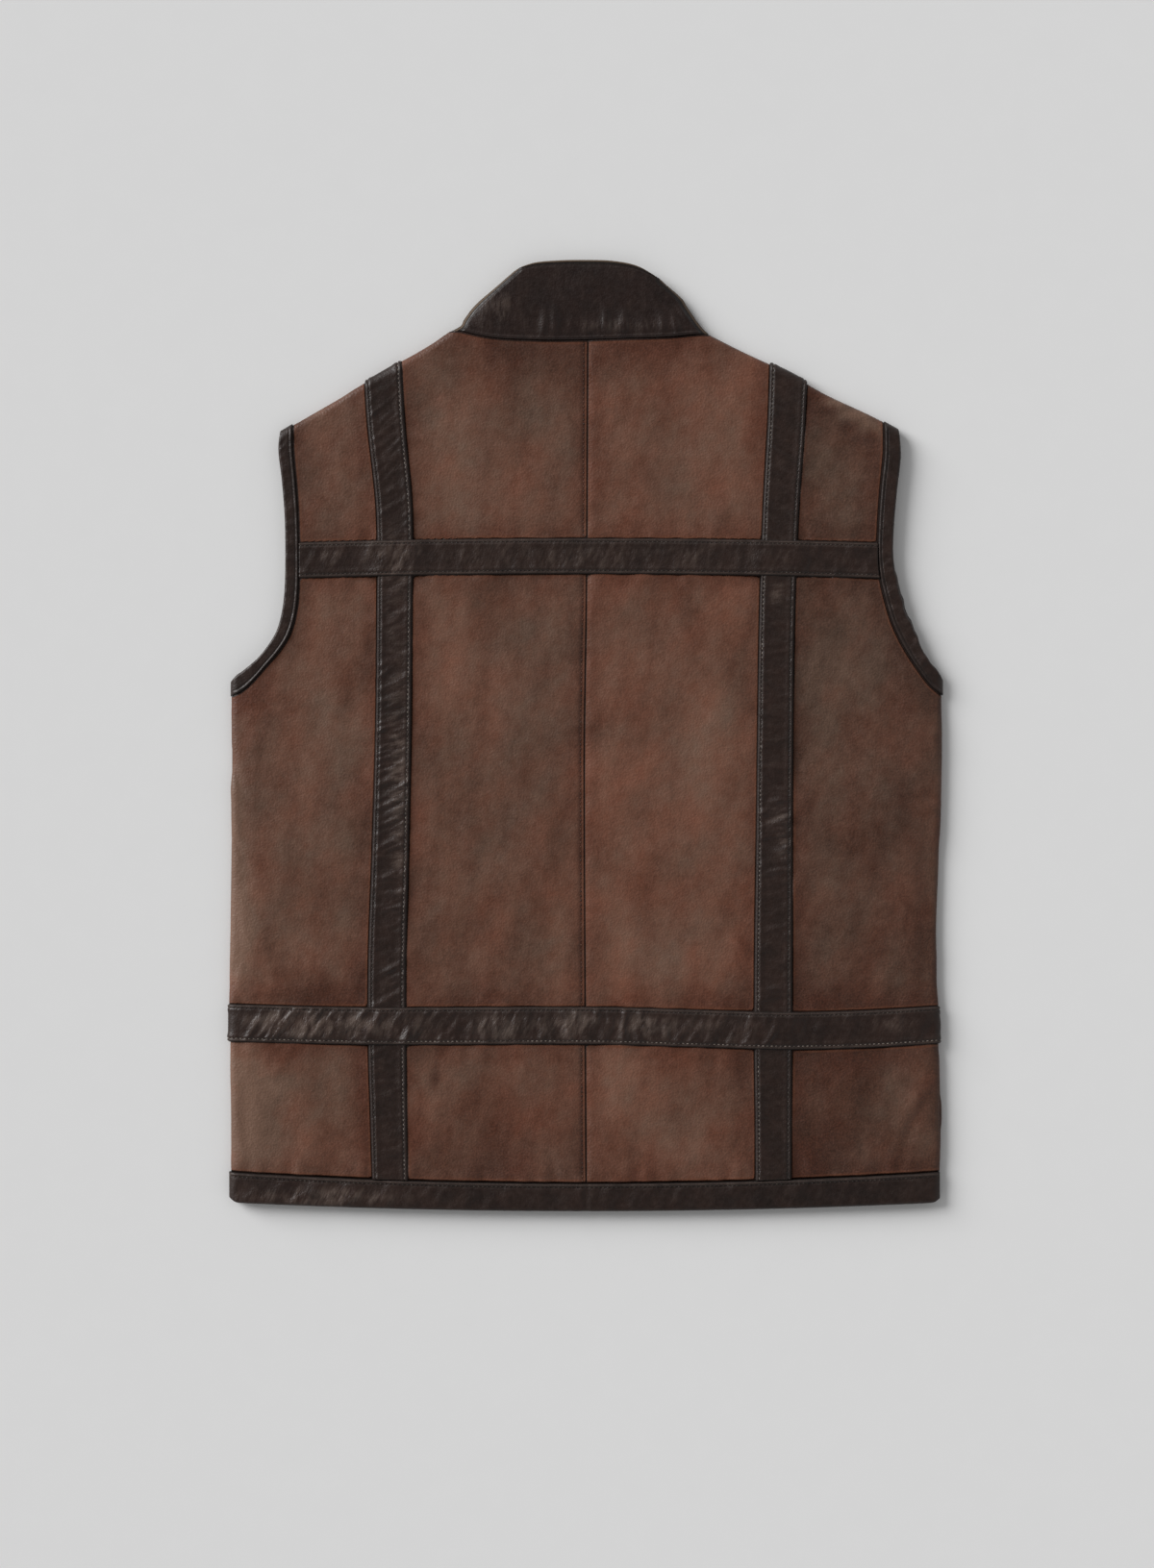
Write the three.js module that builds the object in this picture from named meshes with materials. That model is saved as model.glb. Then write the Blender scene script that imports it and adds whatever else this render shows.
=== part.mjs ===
// A lined leather vest laid face down, so that its back shows: four brown back panels with a centre seam,
// four dark strips sewn over them, dark armhole bindings, a dark hem band and a standing collar pressed flat.
// The two fronts lie under the back, lapped at the centre front. Each piece is a wall of its own.
// Millimetres. X runs across the back, Y from hem to collar, Z up from the surface that the vest lies on.
import * as THREE from "three";

// Cloth thicknesses and clearances
const WALL = 3; // leather, interlining and lining together
const STRIP = 1.2; // a dark strip lying on the panels
const BINDING_RISE = 1.2; // how far bindings, hem band and collar stand proud of the panels
const SEAM = 0.3; // clearance between pieces that are sewn together
const LAP = 9; // the fronts lap this far past the centre front, each way
const LAP_ROOT = LAP + 2 * SEAM; // where a front's full thickness ends, beside the other front's edge

// How the vest lies
const FOLD_HEIGHT = 4.8; // side and shoulder seams over the surface
const FOLD_REACH = 4.8; // how far in from a seam the cloth has turned flat
const BACK_HEIGHT = 9.1; // outer face of the back over the surface
const NOSE = (WALL + BINDING_RISE) / 2; // radius of a bound edge

// Side seams: x at a height up the vest
const SIDE_SEAM = [
  { y: -368, left: -278.6, right: 277.3 },
  { y: -328, left: -278.1, right: 278.6 },
  { y: -253, left: -278.8, right: 277.8 },
  { y: -160, left: -278.8, right: 275.8 },
  { y: -100, left: -278.0, right: 277.6 },
  { y: -40, left: -277.4, right: 279.1 },
  { y: 46, left: -277.3, right: 279.9 },
];

// Shoulder seams, from the neck to the armhole edge
const SHOULDER = {
  left: [[-105.5, 317.3], [-132.5, 299.8], [-168, 279.6], [-197.7, 262], [-229.7, 243.6], [-240.6, 237.2]],
  right: [[97, 315], [125.7, 300.6], [159, 285], [192.8, 265.6], [221.7, 252.2], [234.8, 245.6], [247.6, 238.6]],
};

// Armholes, from the underarm to the shoulder: where the binding is sewn on, and its outer edge
const ARMHOLE = {
  left: [
    { seamX: -277.3, seamY: 31, edgeX: -277.3, edgeY: 43.5 },
    { seamX: -270, seamY: 34.4, edgeX: -273.8, edgeY: 47.4 },
    { seamX: -261.5, seamY: 41.8, edgeX: -268, edgeY: 51.4 },
    { seamX: -250, seamY: 55, edgeX: -257.2, edgeY: 60.6 },
    { seamX: -240.5, seamY: 66, edgeX: -248.4, edgeY: 71.6 },
    { seamX: -232.5, seamY: 78.5, edgeX: -242.1, edgeY: 82.6 },
    { seamX: -227.5, seamY: 94.5, edgeX: -238.2, edgeY: 96.6 },
    { seamX: -225.2, seamY: 114, edgeX: -236, edgeY: 114.6 },
    { seamX: -224.7, seamY: 140, edgeX: -235.4, edgeY: 140 },
    { seamX: -225.4, seamY: 172, edgeX: -235.9, edgeY: 171.5 },
    { seamX: -227.5, seamY: 202, edgeX: -238.2, edgeY: 200.8 },
    { seamX: -229.6, seamY: 226, edgeX: -240.8, edgeY: 223 },
    { seamX: -229.7, seamY: 243.6, edgeX: -239.8, edgeY: 237.7 },
  ],
  right: [
    { seamX: 279.9, seamY: 32, edgeX: 279.9, edgeY: 45 },
    { seamX: 271, seamY: 39.4, edgeX: 276, edgeY: 52 },
    { seamX: 262.5, seamY: 50.4, edgeX: 270.8, edgeY: 57.6 },
    { seamX: 255, seamY: 61.6, edgeX: 264.8, edgeY: 68 },
    { seamX: 247.5, seamY: 74.6, edgeX: 258.8, edgeY: 81 },
    { seamX: 240.6, seamY: 90, edgeX: 252.4, edgeY: 95.4 },
    { seamX: 235.6, seamY: 107, edgeX: 247.8, edgeY: 110.6 },
    { seamX: 231.7, seamY: 124, edgeX: 243.9, edgeY: 126.4 },
    { seamX: 229.9, seamY: 142, edgeX: 241.8, edgeY: 142.6 },
    { seamX: 230.4, seamY: 166, edgeX: 242.5, edgeY: 165.2 },
    { seamX: 232.3, seamY: 194, edgeX: 244.9, edgeY: 192.4 },
    { seamX: 235, seamY: 222, edgeX: 247.8, edgeY: 218.6 },
    { seamX: 234.8, seamY: 245.6, edgeX: 246.6, edgeY: 239.2 },
  ],
};
const FRONT_ARMHOLE_PEEK = 1.6; // the right front's binding shows this far past the back's, low in the armhole

// Vertical strips: centre lines and width
const VERTICAL_STRIP = [
  { y: -360, left: -152.7, right: 147.8, width: 28 },
  { y: -300, left: -154, right: 147.8, width: 28.5 },
  { y: -245, left: -155.2, right: 147.6, width: 29.5 },
  { y: -177, left: -155.2, right: 147.8, width: 29.5 },
  { y: -100, left: -153, right: 148.4, width: 28.6 },
  { y: 4, left: -150.5, right: 149.2, width: 27.8 },
  { y: 100, left: -149.5, right: 150.7, width: 27.6 },
  { y: 177, left: -149.7, right: 153.6, width: 28 },
  { y: 246, left: -156.2, right: 158, width: 29.2 },
  { y: 300, left: -159.2, right: 160.2, width: 29.6 },
];

// Centre back seam
const CENTRE_SEAM = [
  { y: -360, x: 1 },
  { y: -245, x: 0.4 },
  { y: -20, x: -0.5 },
  { y: 110, x: 1.2 },
  { y: 320, x: 2.3 },
];
const CENTRE_SEAM_DIP = 0.7;
const CENTRE_SEAM_REACH = 3;

// Waist strip: centre line, which sags a little to the right of the middle
const WAIST_STRIP = [
  { x: -280, y: -225.6 },
  { x: -170, y: -228 },
  { x: 9, y: -227.8 },
  { x: 80, y: -229.8 },
  { x: 160, y: -231.8 },
  { x: 221, y: -230.4 },
  { x: 280, y: -227 },
];
const WAIST_WIDTH = 29.6;
const STRIP_RAMP = 6; // run over which a cross strip climbs on to a vertical strip

// Chest strip and hem: shallow arcs, each a height at the centre and a rise at the half width
const CHEST_STRIP = { middle: 140.7, rise: -3.4, half: 227, width: 28.2 };
const HEM_SEAM = { middle: -351.6, rise: 9, half: 279 };
const HEM_EDGE = { middle: -373.6, rise: 6.8, half: 279 };
const HEM_CORNER = 7;

// Collar, pressed flat: back neck seam, folded sides and top edge, then the front half under it
const COLLAR = {
  seam: [[-105.5, 317.3], [-97.5, 317.2], [-83.9, 314], [-65.6, 311.4], [-30.9, 310.2], [1.9, 310.5],
    [32.1, 311.5], [64.8, 312.7], [84.9, 314.6], [97, 315]],
  foldLeft: [[-105.5, 317.3], [-97.6, 321.8], [-94.9, 327], [-86, 338.4], [-69.4, 353], [-54, 366.5]],
  foldRight: [[97, 315], [89.8, 322.7], [80.2, 336.7], [75.4, 343.9], [60, 357.4]],
  top: [[-54, 366.5], [-39.6, 371.3], [-21.3, 373], [0, 373.4], [22.5, 372.6], [41.7, 368.4], [60, 357.4]],
  frontSeamLeft: [[-105.5, 317.3], [-103.4, 300], [-92, 280], [-66, 264], [-32, 256.6], [-LAP_ROOT, 255]],
  frontSeamRight: [[97, 315], [95.2, 300], [84, 280], [60, 264], [28, 256.4], [LAP_ROOT, 255]],
  frontTopLeft: [[-54, 366.5], [-52, 346], [-43, 328], [-25, 317], [-LAP_ROOT, 314]],
  frontTopRight: [[60, 357.4], [57, 342], [46, 326], [25, 316.4], [LAP_ROOT, 314]],
};

// Soft swells and hollows of the back as it lies
const SWELLS = [
  { x: -215, y: -120, reachX: 60, reachY: 120, rise: 0.5 },
  { x: -80, y: -60, reachX: 70, reachY: 150, rise: 0.6 },
  { x: 75, y: 20, reachX: 65, reachY: 140, rise: 0.6 },
  { x: 215, y: -60, reachX: 55, reachY: 90, rise: 0.55 },
  { x: -70, y: 225, reachX: 70, reachY: 60, rise: 0.5 },
  { x: 85, y: 230, reachX: 60, reachY: 55, rise: 0.5 },
  { x: 205, y: 228, reachX: 36, reachY: 16, rise: 0.5 },
  { x: -190, y: 205, reachX: 34, reachY: 45, rise: 0.4 },
  { x: 225, y: -285, reachX: 50, reachY: 36, rise: 0.5 },
  { x: -215, y: -295, reachX: 50, reachY: 40, rise: 0.4 },
  { x: -245, y: 10, reachX: 28, reachY: 34, rise: -0.5 },
  { x: 30, y: -165, reachX: 60, reachY: 40, rise: -0.4 },
  { x: -60, y: 340, reachX: 30, reachY: 24, rise: 0.5 },
  { x: 20, y: 345, reachX: 40, reachY: 30, rise: 0.4 },
];

// Grid stops, in millimetres from a fold, a bound edge and the centre seam
const FOLD_STOPS = [0, 0.7, 2.3, 4.8];
const EDGE_STOPS = [0, 0.6, 2.1];
const CENTRE_STOPS = [4, 1.6, 0];

// Colours
const LEATHER = {
  brown: { color: 0x594035, roughness: 0.55 },
  dark: { color: 0x2e2522, roughness: 0.5 },
};

const lerp = THREE.MathUtils.lerp;
const clamp = THREE.MathUtils.clamp;
const smooth = (low, high, x) => THREE.MathUtils.smoothstep(x, low, high);
const point = (x, y) => new THREE.Vector2(x, y);
const spline = (points) => new THREE.SplineCurve(points.map(([x, y]) => point(x, y)));
const sign = { left: 1, right: -1 }; // plan direction from a side in to the centre

// A smooth curve through one column of a table, read by another column that rises.
function through(rows, at, value) {
  const xs = rows.map((row) => row[at]);
  const ys = rows.map((row) => row[value]);
  const last = xs.length - 1;
  const slopes = xs.map((_, i) => {
    const before = Math.max(i - 1, 0);
    const after = Math.min(i + 1, last);
    return (ys[after] - ys[before]) / (xs[after] - xs[before]);
  });
  return (x) => {
    const inside = clamp(x, xs[0], xs[last]);
    const i = Math.max(1, xs.findIndex((edge) => edge >= inside)) - 1;
    const span = xs[i + 1] - xs[i];
    const t = (inside - xs[i]) / span;
    const rising = t * t * (3 - 2 * t);
    const bend = t * (1 - t) * span * ((1 - t) * slopes[i] - t * slopes[i + 1]);
    return lerp(ys[i], ys[i + 1], rising) + bend;
  };
}

const arc = ({ middle, rise, half }) => (x) => middle + rise * (x / half) ** 2;

const sideX = { left: through(SIDE_SEAM, "y", "left"), right: through(SIDE_SEAM, "y", "right") };
const stripX = { left: through(VERTICAL_STRIP, "y", "left"), right: through(VERTICAL_STRIP, "y", "right") };
const stripWidth = through(VERTICAL_STRIP, "y", "width");
const centreX = through(CENTRE_SEAM, "y", "x");
const waistY = through(WAIST_STRIP, "x", "y");
const chestY = arc(CHEST_STRIP);
const hemSeamY = arc(HEM_SEAM);
const hemEdgeArc = arc(HEM_EDGE);
const hemEdgeY = (x) => {
  const past = Math.abs(x) - (HEM_EDGE.half - HEM_CORNER);
  return hemEdgeArc(x) + (Math.max(past, 0) ** 2 / HEM_CORNER) * 0.5;
};
const shoulder = { left: spline(SHOULDER.left), right: spline(SHOULDER.right) };
const armSeam = {};
const armEdge = {};
for (const side of ["left", "right"]) {
  armSeam[side] = spline(ARMHOLE[side].map((row) => [row.seamX, row.seamY]));
  armEdge[side] = spline(ARMHOLE[side].map((row) => [row.edgeX, row.edgeY]));
}
const neckSeam = spline(COLLAR.seam);
const frontNeck = { left: spline(COLLAR.frontSeamLeft), right: spline(COLLAR.frontSeamRight) };
const frontTop = { left: spline(COLLAR.frontTopLeft), right: spline(COLLAR.frontTopRight) };
const collarFold = { left: spline(COLLAR.foldLeft), right: spline(COLLAR.foldRight) };
const collarTop = spline(COLLAR.top);

// A point on a curve, moved to the left of the way that it runs.
function beside(curve, share, distance) {
  const along = curve.getTangentAt(share);
  return curve.getPointAt(share).add(point(-along.y, along.x).multiplyScalar(distance));
}

// The fold lines that the cloth turns over, as runs of points. The collar's start from its seam's two ends.
const sideLine = (side) => SIDE_SEAM.map(({ y }) => point(sideX[side](y), y));
const collarLine = (side, seamEnd) => [beside(neckSeam, seamEnd, SEAM / 2), ...collarFold[side].getPoints(24).slice(1)];
const BODY = {
  middle: point(0, -20),
  folds: [sideLine("left"), sideLine("right"), shoulder.left.getPoints(20), shoulder.right.getPoints(20)],
};
const NECK = {
  middle: point(0, 330),
  folds: [collarLine("left", 0), collarLine("right", 1)],
};

// Distance from a plan point to the nearest fold, and the plan direction out over that fold.
function nearestFold(at, { folds, middle }) {
  let best = { distance: Infinity };
  for (const run of folds) {
    for (let i = 1; i < run.length; i++) {
      const along = run[i].clone().sub(run[i - 1]);
      const t = clamp(at.clone().sub(run[i - 1]).dot(along) / along.lengthSq(), 0, 1);
      const foot = run[i - 1].clone().addScaledVector(along, t);
      const distance = foot.distanceTo(at);
      if (distance < best.distance) {
        const outward = point(along.y, -along.x).normalize();
        if (outward.dot(foot.sub(middle)) < 0) outward.negate();
        best = { distance, outward };
      }
    }
  }
  return best;
}

// Height of the back's outer face where it has turned flat. Strips and collar bridge the dip at the centre seam.
function crown(x, y, bridges) {
  let z = BACK_HEIGHT;
  for (const { x: cx, y: cy, reachX, reachY, rise } of SWELLS) {
    z += rise * Math.exp(-(((x - cx) / reachX) ** 2) - ((y - cy) / reachY) ** 2);
  }
  if (bridges) return z;
  const fromSeam = (x - centreX(y)) / CENTRE_SEAM_REACH;
  return z - CENTRE_SEAM_DIP * Math.exp(-fromSeam * fromSeam);
}

// The cloth's outer face over a plan point: its place, its normal, and how far it has turned over a fold, from 0
// on the flat to 1. The back turns down to the seam height, and the front up to it. Along a seam that runs into
// a fold, the normal keeps to the seam's direction.
function face({ at, layer, form = BODY, bridges = false, seamAlong }) {
  const { distance, outward } = nearestFold(at, form);
  const turn = 1 - Math.min(distance / FOLD_REACH, 1);
  const up = Math.sqrt(1 - turn * turn);
  const gap = form === BODY ? SEAM / 2 : 0;
  const normal = new THREE.Vector3(outward.x, outward.y, 0).multiplyScalar(turn / FOLD_REACH);
  let z;
  if (layer === "front") {
    const rise = FOLD_HEIGHT - gap;
    z = rise * (1 - up);
    normal.z = -up / rise;
  } else {
    const seam = FOLD_HEIGHT + gap;
    const lift = crown(at.x, at.y, bridges) - seam;
    z = seam + lift * up;
    const slopeX = crown(at.x + 0.5, at.y, bridges) - crown(at.x - 0.5, at.y, bridges);
    const slopeY = crown(at.x, at.y + 0.5, bridges) - crown(at.x, at.y - 0.5, bridges);
    normal.add(new THREE.Vector3(-slopeX, -slopeY, 1).multiplyScalar(up / lift));
  }
  if (seamAlong) {
    const kept = normal.x * seamAlong.x + normal.y * seamAlong.y;
    normal.set(seamAlong.x * kept, seamAlong.y * kept, normal.z);
  }
  return { place: new THREE.Vector3(at.x, at.y, z), normal: normal.normalize(), turn };
}

// A closed wall over a grid of cells. A cell has a plan point, a layer, and how far its outer and inner faces
// lie from the cloth's outer face. Its section can also shift outward where the cloth turns over a fold.
function wall(name, grid, leather) {
  const rows = grid.length;
  const columns = grid[0].length;
  const positions = [];
  for (const depth of ["outer", "inner"]) {
    for (const cell of grid.flat()) {
      const { place, normal, turn } = face(cell);
      const shift = (cell.shift ?? 0) * turn ** 2;
      positions.push(...place.addScaledVector(normal, cell[depth] + shift).toArray());
    }
  }
  const corner = (inner, j, i) => (inner * rows + j) * columns + i;
  const indices = [];
  const quad = (a, b, c, d) => indices.push(a, b, c, a, c, d);
  const edge = (j0, i0, j1, i1) => quad(corner(0, j0, i0), corner(0, j1, i1), corner(1, j1, i1), corner(1, j0, i0));
  for (let j = 1; j < rows; j++) {
    for (let i = 1; i < columns; i++) {
      quad(corner(0, j - 1, i - 1), corner(0, j - 1, i), corner(0, j, i), corner(0, j, i - 1));
      quad(corner(1, j - 1, i - 1), corner(1, j, i - 1), corner(1, j, i), corner(1, j - 1, i));
    }
  }
  for (let i = 1; i < columns; i++) {
    edge(0, i, 0, i - 1);
    edge(rows - 1, i - 1, rows - 1, i);
  }
  for (let j = 1; j < rows; j++) {
    edge(j - 1, 0, j, 0);
    edge(j, columns - 1, j - 1, columns - 1);
  }
  if (signedVolume(positions, indices) < 0) indices.reverse();
  const geometry = new THREE.BufferGeometry();
  geometry.setAttribute("position", new THREE.Float32BufferAttribute(positions, 3));
  geometry.setIndex(indices);
  geometry.computeVertexNormals();
  const mesh = new THREE.Mesh(geometry, new THREE.MeshStandardMaterial({ ...leather, metalness: 0 }));
  mesh.name = name;
  return mesh;
}

function signedVolume(positions, indices) {
  const corner = (i) => new THREE.Vector3().fromArray(positions, 3 * indices[i]);
  let volume = 0;
  for (let i = 0; i < indices.length; i += 3) volume += corner(i).dot(corner(i + 1).cross(corner(i + 2)));
  return volume;
}

// A patch between four edges, each a function of a share from 0 to 1. Its corners are the bottom's and the top's.
function patch({ bottom, top, left, right }) {
  const mix = (a, b, t) => a.clone().lerp(b, t);
  const bow = (side, v) => side(v).sub(mix(side(0), side(1), v));
  return (u, v) => mix(bottom(u), top(u), v).add(mix(bow(left, v), bow(right, v), u));
}

// Shares from 0 to 1 over a length: stops in millimetres from each end, and even steps between.
function shares(length, steps, startStops = [0], endStops = [0]) {
  const start = startStops.map((stop) => stop / length);
  const end = endStops.map((stop) => 1 - stop / length).reverse();
  const between = [];
  for (let i = 1; i < steps; i++) between.push(lerp(start.at(-1), end[0], i / steps));
  return [...start, ...between, ...end];
}

// Shares over two stretches that meet at a share of the whole.
const joined = (meet, first, second) => [
  ...first.map((s) => s * meet),
  ...second.slice(1).map((s) => lerp(meet, 1, s)),
];

// Share along a curve at which one of its coordinates reaches a value.
function shareAt(curve, axis, value) {
  const falling = curve.getPointAt(0)[axis] > curve.getPointAt(1)[axis];
  let low = 0;
  let high = 1;
  for (let i = 0; i < 40; i++) {
    const middle = (low + high) / 2;
    const beyond = curve.getPointAt(middle)[axis] > value;
    if (beyond === falling) low = middle;
    else high = middle;
  }
  return (low + high) / 2;
}

// A section rounded like a bound edge, near that edge.
function rounded(fromEdge, { outer, inner }) {
  const centre = (outer + inner) / 2;
  const reach = 1 - Math.min(fromEdge / NOSE, 1);
  const half = ((outer - inner) / 2) * Math.max(Math.sqrt(1 - reach * reach), 0.25);
  return { outer: centre + half, inner: centre - half };
}

// Depths of a wall inside the lap: the left front lies outside, and the right front inside it.
function lapDepth(side, { outer, inner }) {
  const middle = (outer + inner) / 2;
  return side === "left" ? { outer, inner: middle + SEAM / 2 } : { outer: middle - SEAM / 2, inner };
}

// The two last cells of a front's row, over the lap and level with the row's end.
const lapCells = (side, y, cell) =>
  [-LAP - SEAM, LAP].map((x) => ({ ...cell, at: point(sign[side] * x, y) }));

// Shares of height at which panels, strips and side seams have the underarm, and rows up to it
const UNDERARM = 0.6;
const rowsToUnderarm = (steps) => shares(380, steps);

// Rows up an armhole, closest together round its lower curve and where it meets the shoulder.
function armholeRows(side) {
  const length = armSeam[side].getLength();
  const straight = 0.5;
  return joined(straight, shares(length * straight, 9), shares(length * (1 - straight), 4, [0], FOLD_STOPS));
}

// The outer edge of a panel: up the side seam, then round the armhole seam to the shoulder.
function panelSide(side) {
  const bottomY = hemSeamY(HEM_SEAM.half) + SEAM / 2;
  const underarmY = armSeam[side].getPoint(0).y - SEAM / 2;
  return (v) => {
    const y = lerp(bottomY, underarmY, v / UNDERARM);
    if (v <= UNDERARM) return point(sideX[side](y), y);
    return beside(armSeam[side], (v - UNDERARM) / (1 - UNDERARM), (-sign[side] * SEAM) / 2);
  };
}

// A line up the vest whose x follows a curve, level with the side at the underarm.
function upright(side, xAt, topY) {
  const bottomY = hemSeamY(xAt(HEM_SEAM.middle)) + SEAM / 2;
  const underarmY = armSeam[side].getPoint(0).y;
  return (v) => {
    const low = lerp(bottomY, underarmY, v / UNDERARM);
    const high = lerp(underarmY, topY, (v - UNDERARM) / (1 - UNDERARM));
    const y = v <= UNDERARM ? low : high;
    return point(xAt(y), y);
  };
}

const hemEdge = (fromX, toX) => (u) => {
  const x = lerp(fromX, toX, u);
  return point(x, hemSeamY(x) + SEAM / 2);
};

// Shoulder shares at which a vertical strip's centre line and the armhole seam end.
const joinShare = (side) => shareAt(shoulder[side], "x", stripX[side](282));
const armShare = (side) => shareAt(shoulder[side], "x", armSeam[side].getPoint(1).x);

// Shares along the whole back neck seam, with its middle where the centre seam ends.
const neckMiddle = shareAt(neckSeam, "x", centreX(310));
const halfNeck = shares(neckSeam.getLength() / 2, 5, FOLD_STOPS);
const neckShares = [
  ...halfNeck.map((s) => s * neckMiddle),
  ...halfNeck.slice(0, -1).reverse().map((s) => 1 - s * (1 - neckMiddle)),
];
const frontNeckShares = shares(frontNeck.left.getLength(), 7, FOLD_STOPS);

// A top edge in two stretches: along the shoulder to the neck, then along a neck seam.
const shoulderThenNeck = (side, from, meet, neckPoint) => (u) =>
  u <= meet ? shoulder[side].getPointAt(from * (1 - u / meet)) : neckPoint((u - meet) / (1 - meet));

// A panel's cell, and the way that the armhole seam or the neck seam runs where the cell lies on it.
const backCell = (at, seamAlong) => ({ at, seamAlong, layer: "back", outer: 0, inner: -WALL });
const frontCell = (at, seamAlong) => ({ at, seamAlong, layer: "front", outer: 0, inner: -WALL });
const onArmhole = (side, u, v) =>
  u === 0 && v >= UNDERARM ? armSeam[side].getTangentAt((v - UNDERARM) / (1 - UNDERARM)) : undefined;
const onNeck = (u, v, meet, tangentAt) => (v === 1 && u >= meet ? tangentAt((u - meet) / (1 - meet)) : undefined);

// A back side panel: from the side seam and armhole in to the join under the vertical strip.
function backSidePanel(side) {
  const outer = panelSide(side);
  const join = shoulder[side].getPointAt(joinShare(side));
  const inner = upright(side, (y) => stripX[side](y) - (sign[side] * SEAM) / 2, join.y);
  const surface = patch({
    bottom: hemEdge(outer(0).x, inner(0).x),
    top: (u) => shoulder[side].getPointAt(lerp(armShare(side), joinShare(side), u)),
    left: outer,
    right: inner,
  });
  const grid = joined(UNDERARM, rowsToUnderarm(9), armholeRows(side)).map((v) =>
    shares(outer(v).distanceTo(inner(v)), 4, FOLD_STOPS).map((u) =>
      backCell(surface(u, v), onArmhole(side, u, v)),
    ),
  );
  return wall(`back_side_${side}`, grid, LEATHER.brown);
}

// A back centre panel: from the join under the vertical strip in to the centre back seam.
function backCentrePanel(side) {
  const meet = 0.36;
  const half = side === "left" ? neckMiddle : 1 - neckMiddle;
  const seamShare = (t) => (side === "left" ? t * half : 1 - t * half);
  const neckPoint = (t) => {
    const at = beside(neckSeam, seamShare(t), -SEAM / 2);
    at.x -= t === 1 ? (sign[side] * SEAM) / 2 : 0;
    return at;
  };
  const join = shoulder[side].getPointAt(joinShare(side));
  const outer = upright(side, (y) => stripX[side](y) + (sign[side] * SEAM) / 2, join.y);
  const inner = upright(side, (y) => centreX(y) - (sign[side] * SEAM) / 2, neckPoint(1).y);
  const surface = patch({
    bottom: hemEdge(outer(0).x, inner(0).x),
    top: shoulderThenNeck(side, joinShare(side), meet, neckPoint),
    left: outer,
    right: inner,
  });
  const grid = joined(UNDERARM, rowsToUnderarm(9), armholeRows(side)).map((v) => {
    const width = outer(v).distanceTo(inner(v));
    const columns = joined(meet, shares(width * meet, 3), halfNeck.slice(0, -1));
    const tangentAt = (t) => neckSeam.getTangentAt(seamShare(t));
    return [...columns, ...CENTRE_STOPS.map((stop) => 1 - stop / width)].map((u) =>
      backCell(surface(u, v), onNeck(u, v, meet, tangentAt)),
    );
  });
  return wall(`back_centre_${side}`, grid, LEATHER.brown);
}

// A front, flat on the surface: from the side seam and armhole in to the lap, and up to shoulder and neckline.
function front(side) {
  const meet = 0.5;
  const outer = panelSide(side);
  const neckPoint = (t) => {
    const at = beside(frontNeck[side], t, (-sign[side] * SEAM) / 2);
    return t === 1 ? point(-sign[side] * LAP_ROOT, at.y) : at;
  };
  const inner = upright(side, () => -sign[side] * LAP_ROOT, neckPoint(1).y);
  const surface = patch({
    bottom: hemEdge(outer(0).x, inner(0).x),
    top: shoulderThenNeck(side, armShare(side), meet, neckPoint),
    left: outer,
    right: inner,
  });
  const grid = joined(UNDERARM, rowsToUnderarm(6), armholeRows(side)).map((v) => {
    const width = outer(v).distanceTo(inner(v));
    const columns = joined(meet, shares(width * meet, 3, FOLD_STOPS), frontNeckShares);
    const tangentAt = (t) => frontNeck[side].getTangentAt(t);
    const cells = columns.map((u) =>
      frontCell(surface(u, v), onArmhole(side, u, v) ?? onNeck(u, v, meet, tangentAt)),
    );
    const { at, ...cell } = cells.at(-1);
    return [...cells, ...lapCells(side, at.y, { ...cell, ...lapDepth(side, cell) })];
  });
  return wall(`front_${side}`, grid, LEATHER.brown);
}

// Depths of a binding: proud of the back on top, and of the front inside, where it lies on the surface.
const BOUND = {
  back: { layer: "back", outer: BINDING_RISE, inner: -WALL, shift: 0 },
  front: { layer: "front", outer: 0, inner: -WALL - BINDING_RISE, shift: BINDING_RISE },
};

// One half of an armhole binding, over the back or under the front, from the side seam to the shoulder.
function armholeBinding(side, layer) {
  const width = 11;
  const bound = BOUND[layer];
  const peek = layer === "front" && side === "right" ? FRONT_ARMHOLE_PEEK : 0;
  const grid = armholeRows(side).map((v) => {
    const seam = beside(armSeam[side], v, (sign[side] * SEAM) / 2);
    const edge = armEdge[side].getPointAt(v);
    const low = Math.sin(Math.PI * clamp(v / 0.62, 0, 1)) ** 2;
    edge.addScaledVector(edge.clone().sub(seam).normalize(), peek * low);
    return shares(width, 2, [0], EDGE_STOPS).map((u) => ({
      ...bound,
      seamAlong: u === 0 ? armSeam[side].getTangentAt(v) : undefined,
      ...rounded((1 - u) * width, bound),
      at: seam.clone().lerp(edge, u),
    }));
  });
  return wall(`armhole_binding_${side}_${layer}`, grid, LEATHER.dark);
}

// How far a cross strip is lifted over the vertical strips.
function overStrips(x, y) {
  const half = stripWidth(y) / 2;
  const over = (side) => 1 - smooth(half + 1, half + STRIP_RAMP, Math.abs(x - stripX[side](y)));
  return (STRIP + SEAM) * Math.max(over("left"), over("right"));
}

const stripCell = (at, lift = 0) => ({
  at,
  layer: "back",
  bridges: true,
  shift: SEAM / 2,
  outer: SEAM + STRIP + lift,
  inner: SEAM + lift,
});

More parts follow.
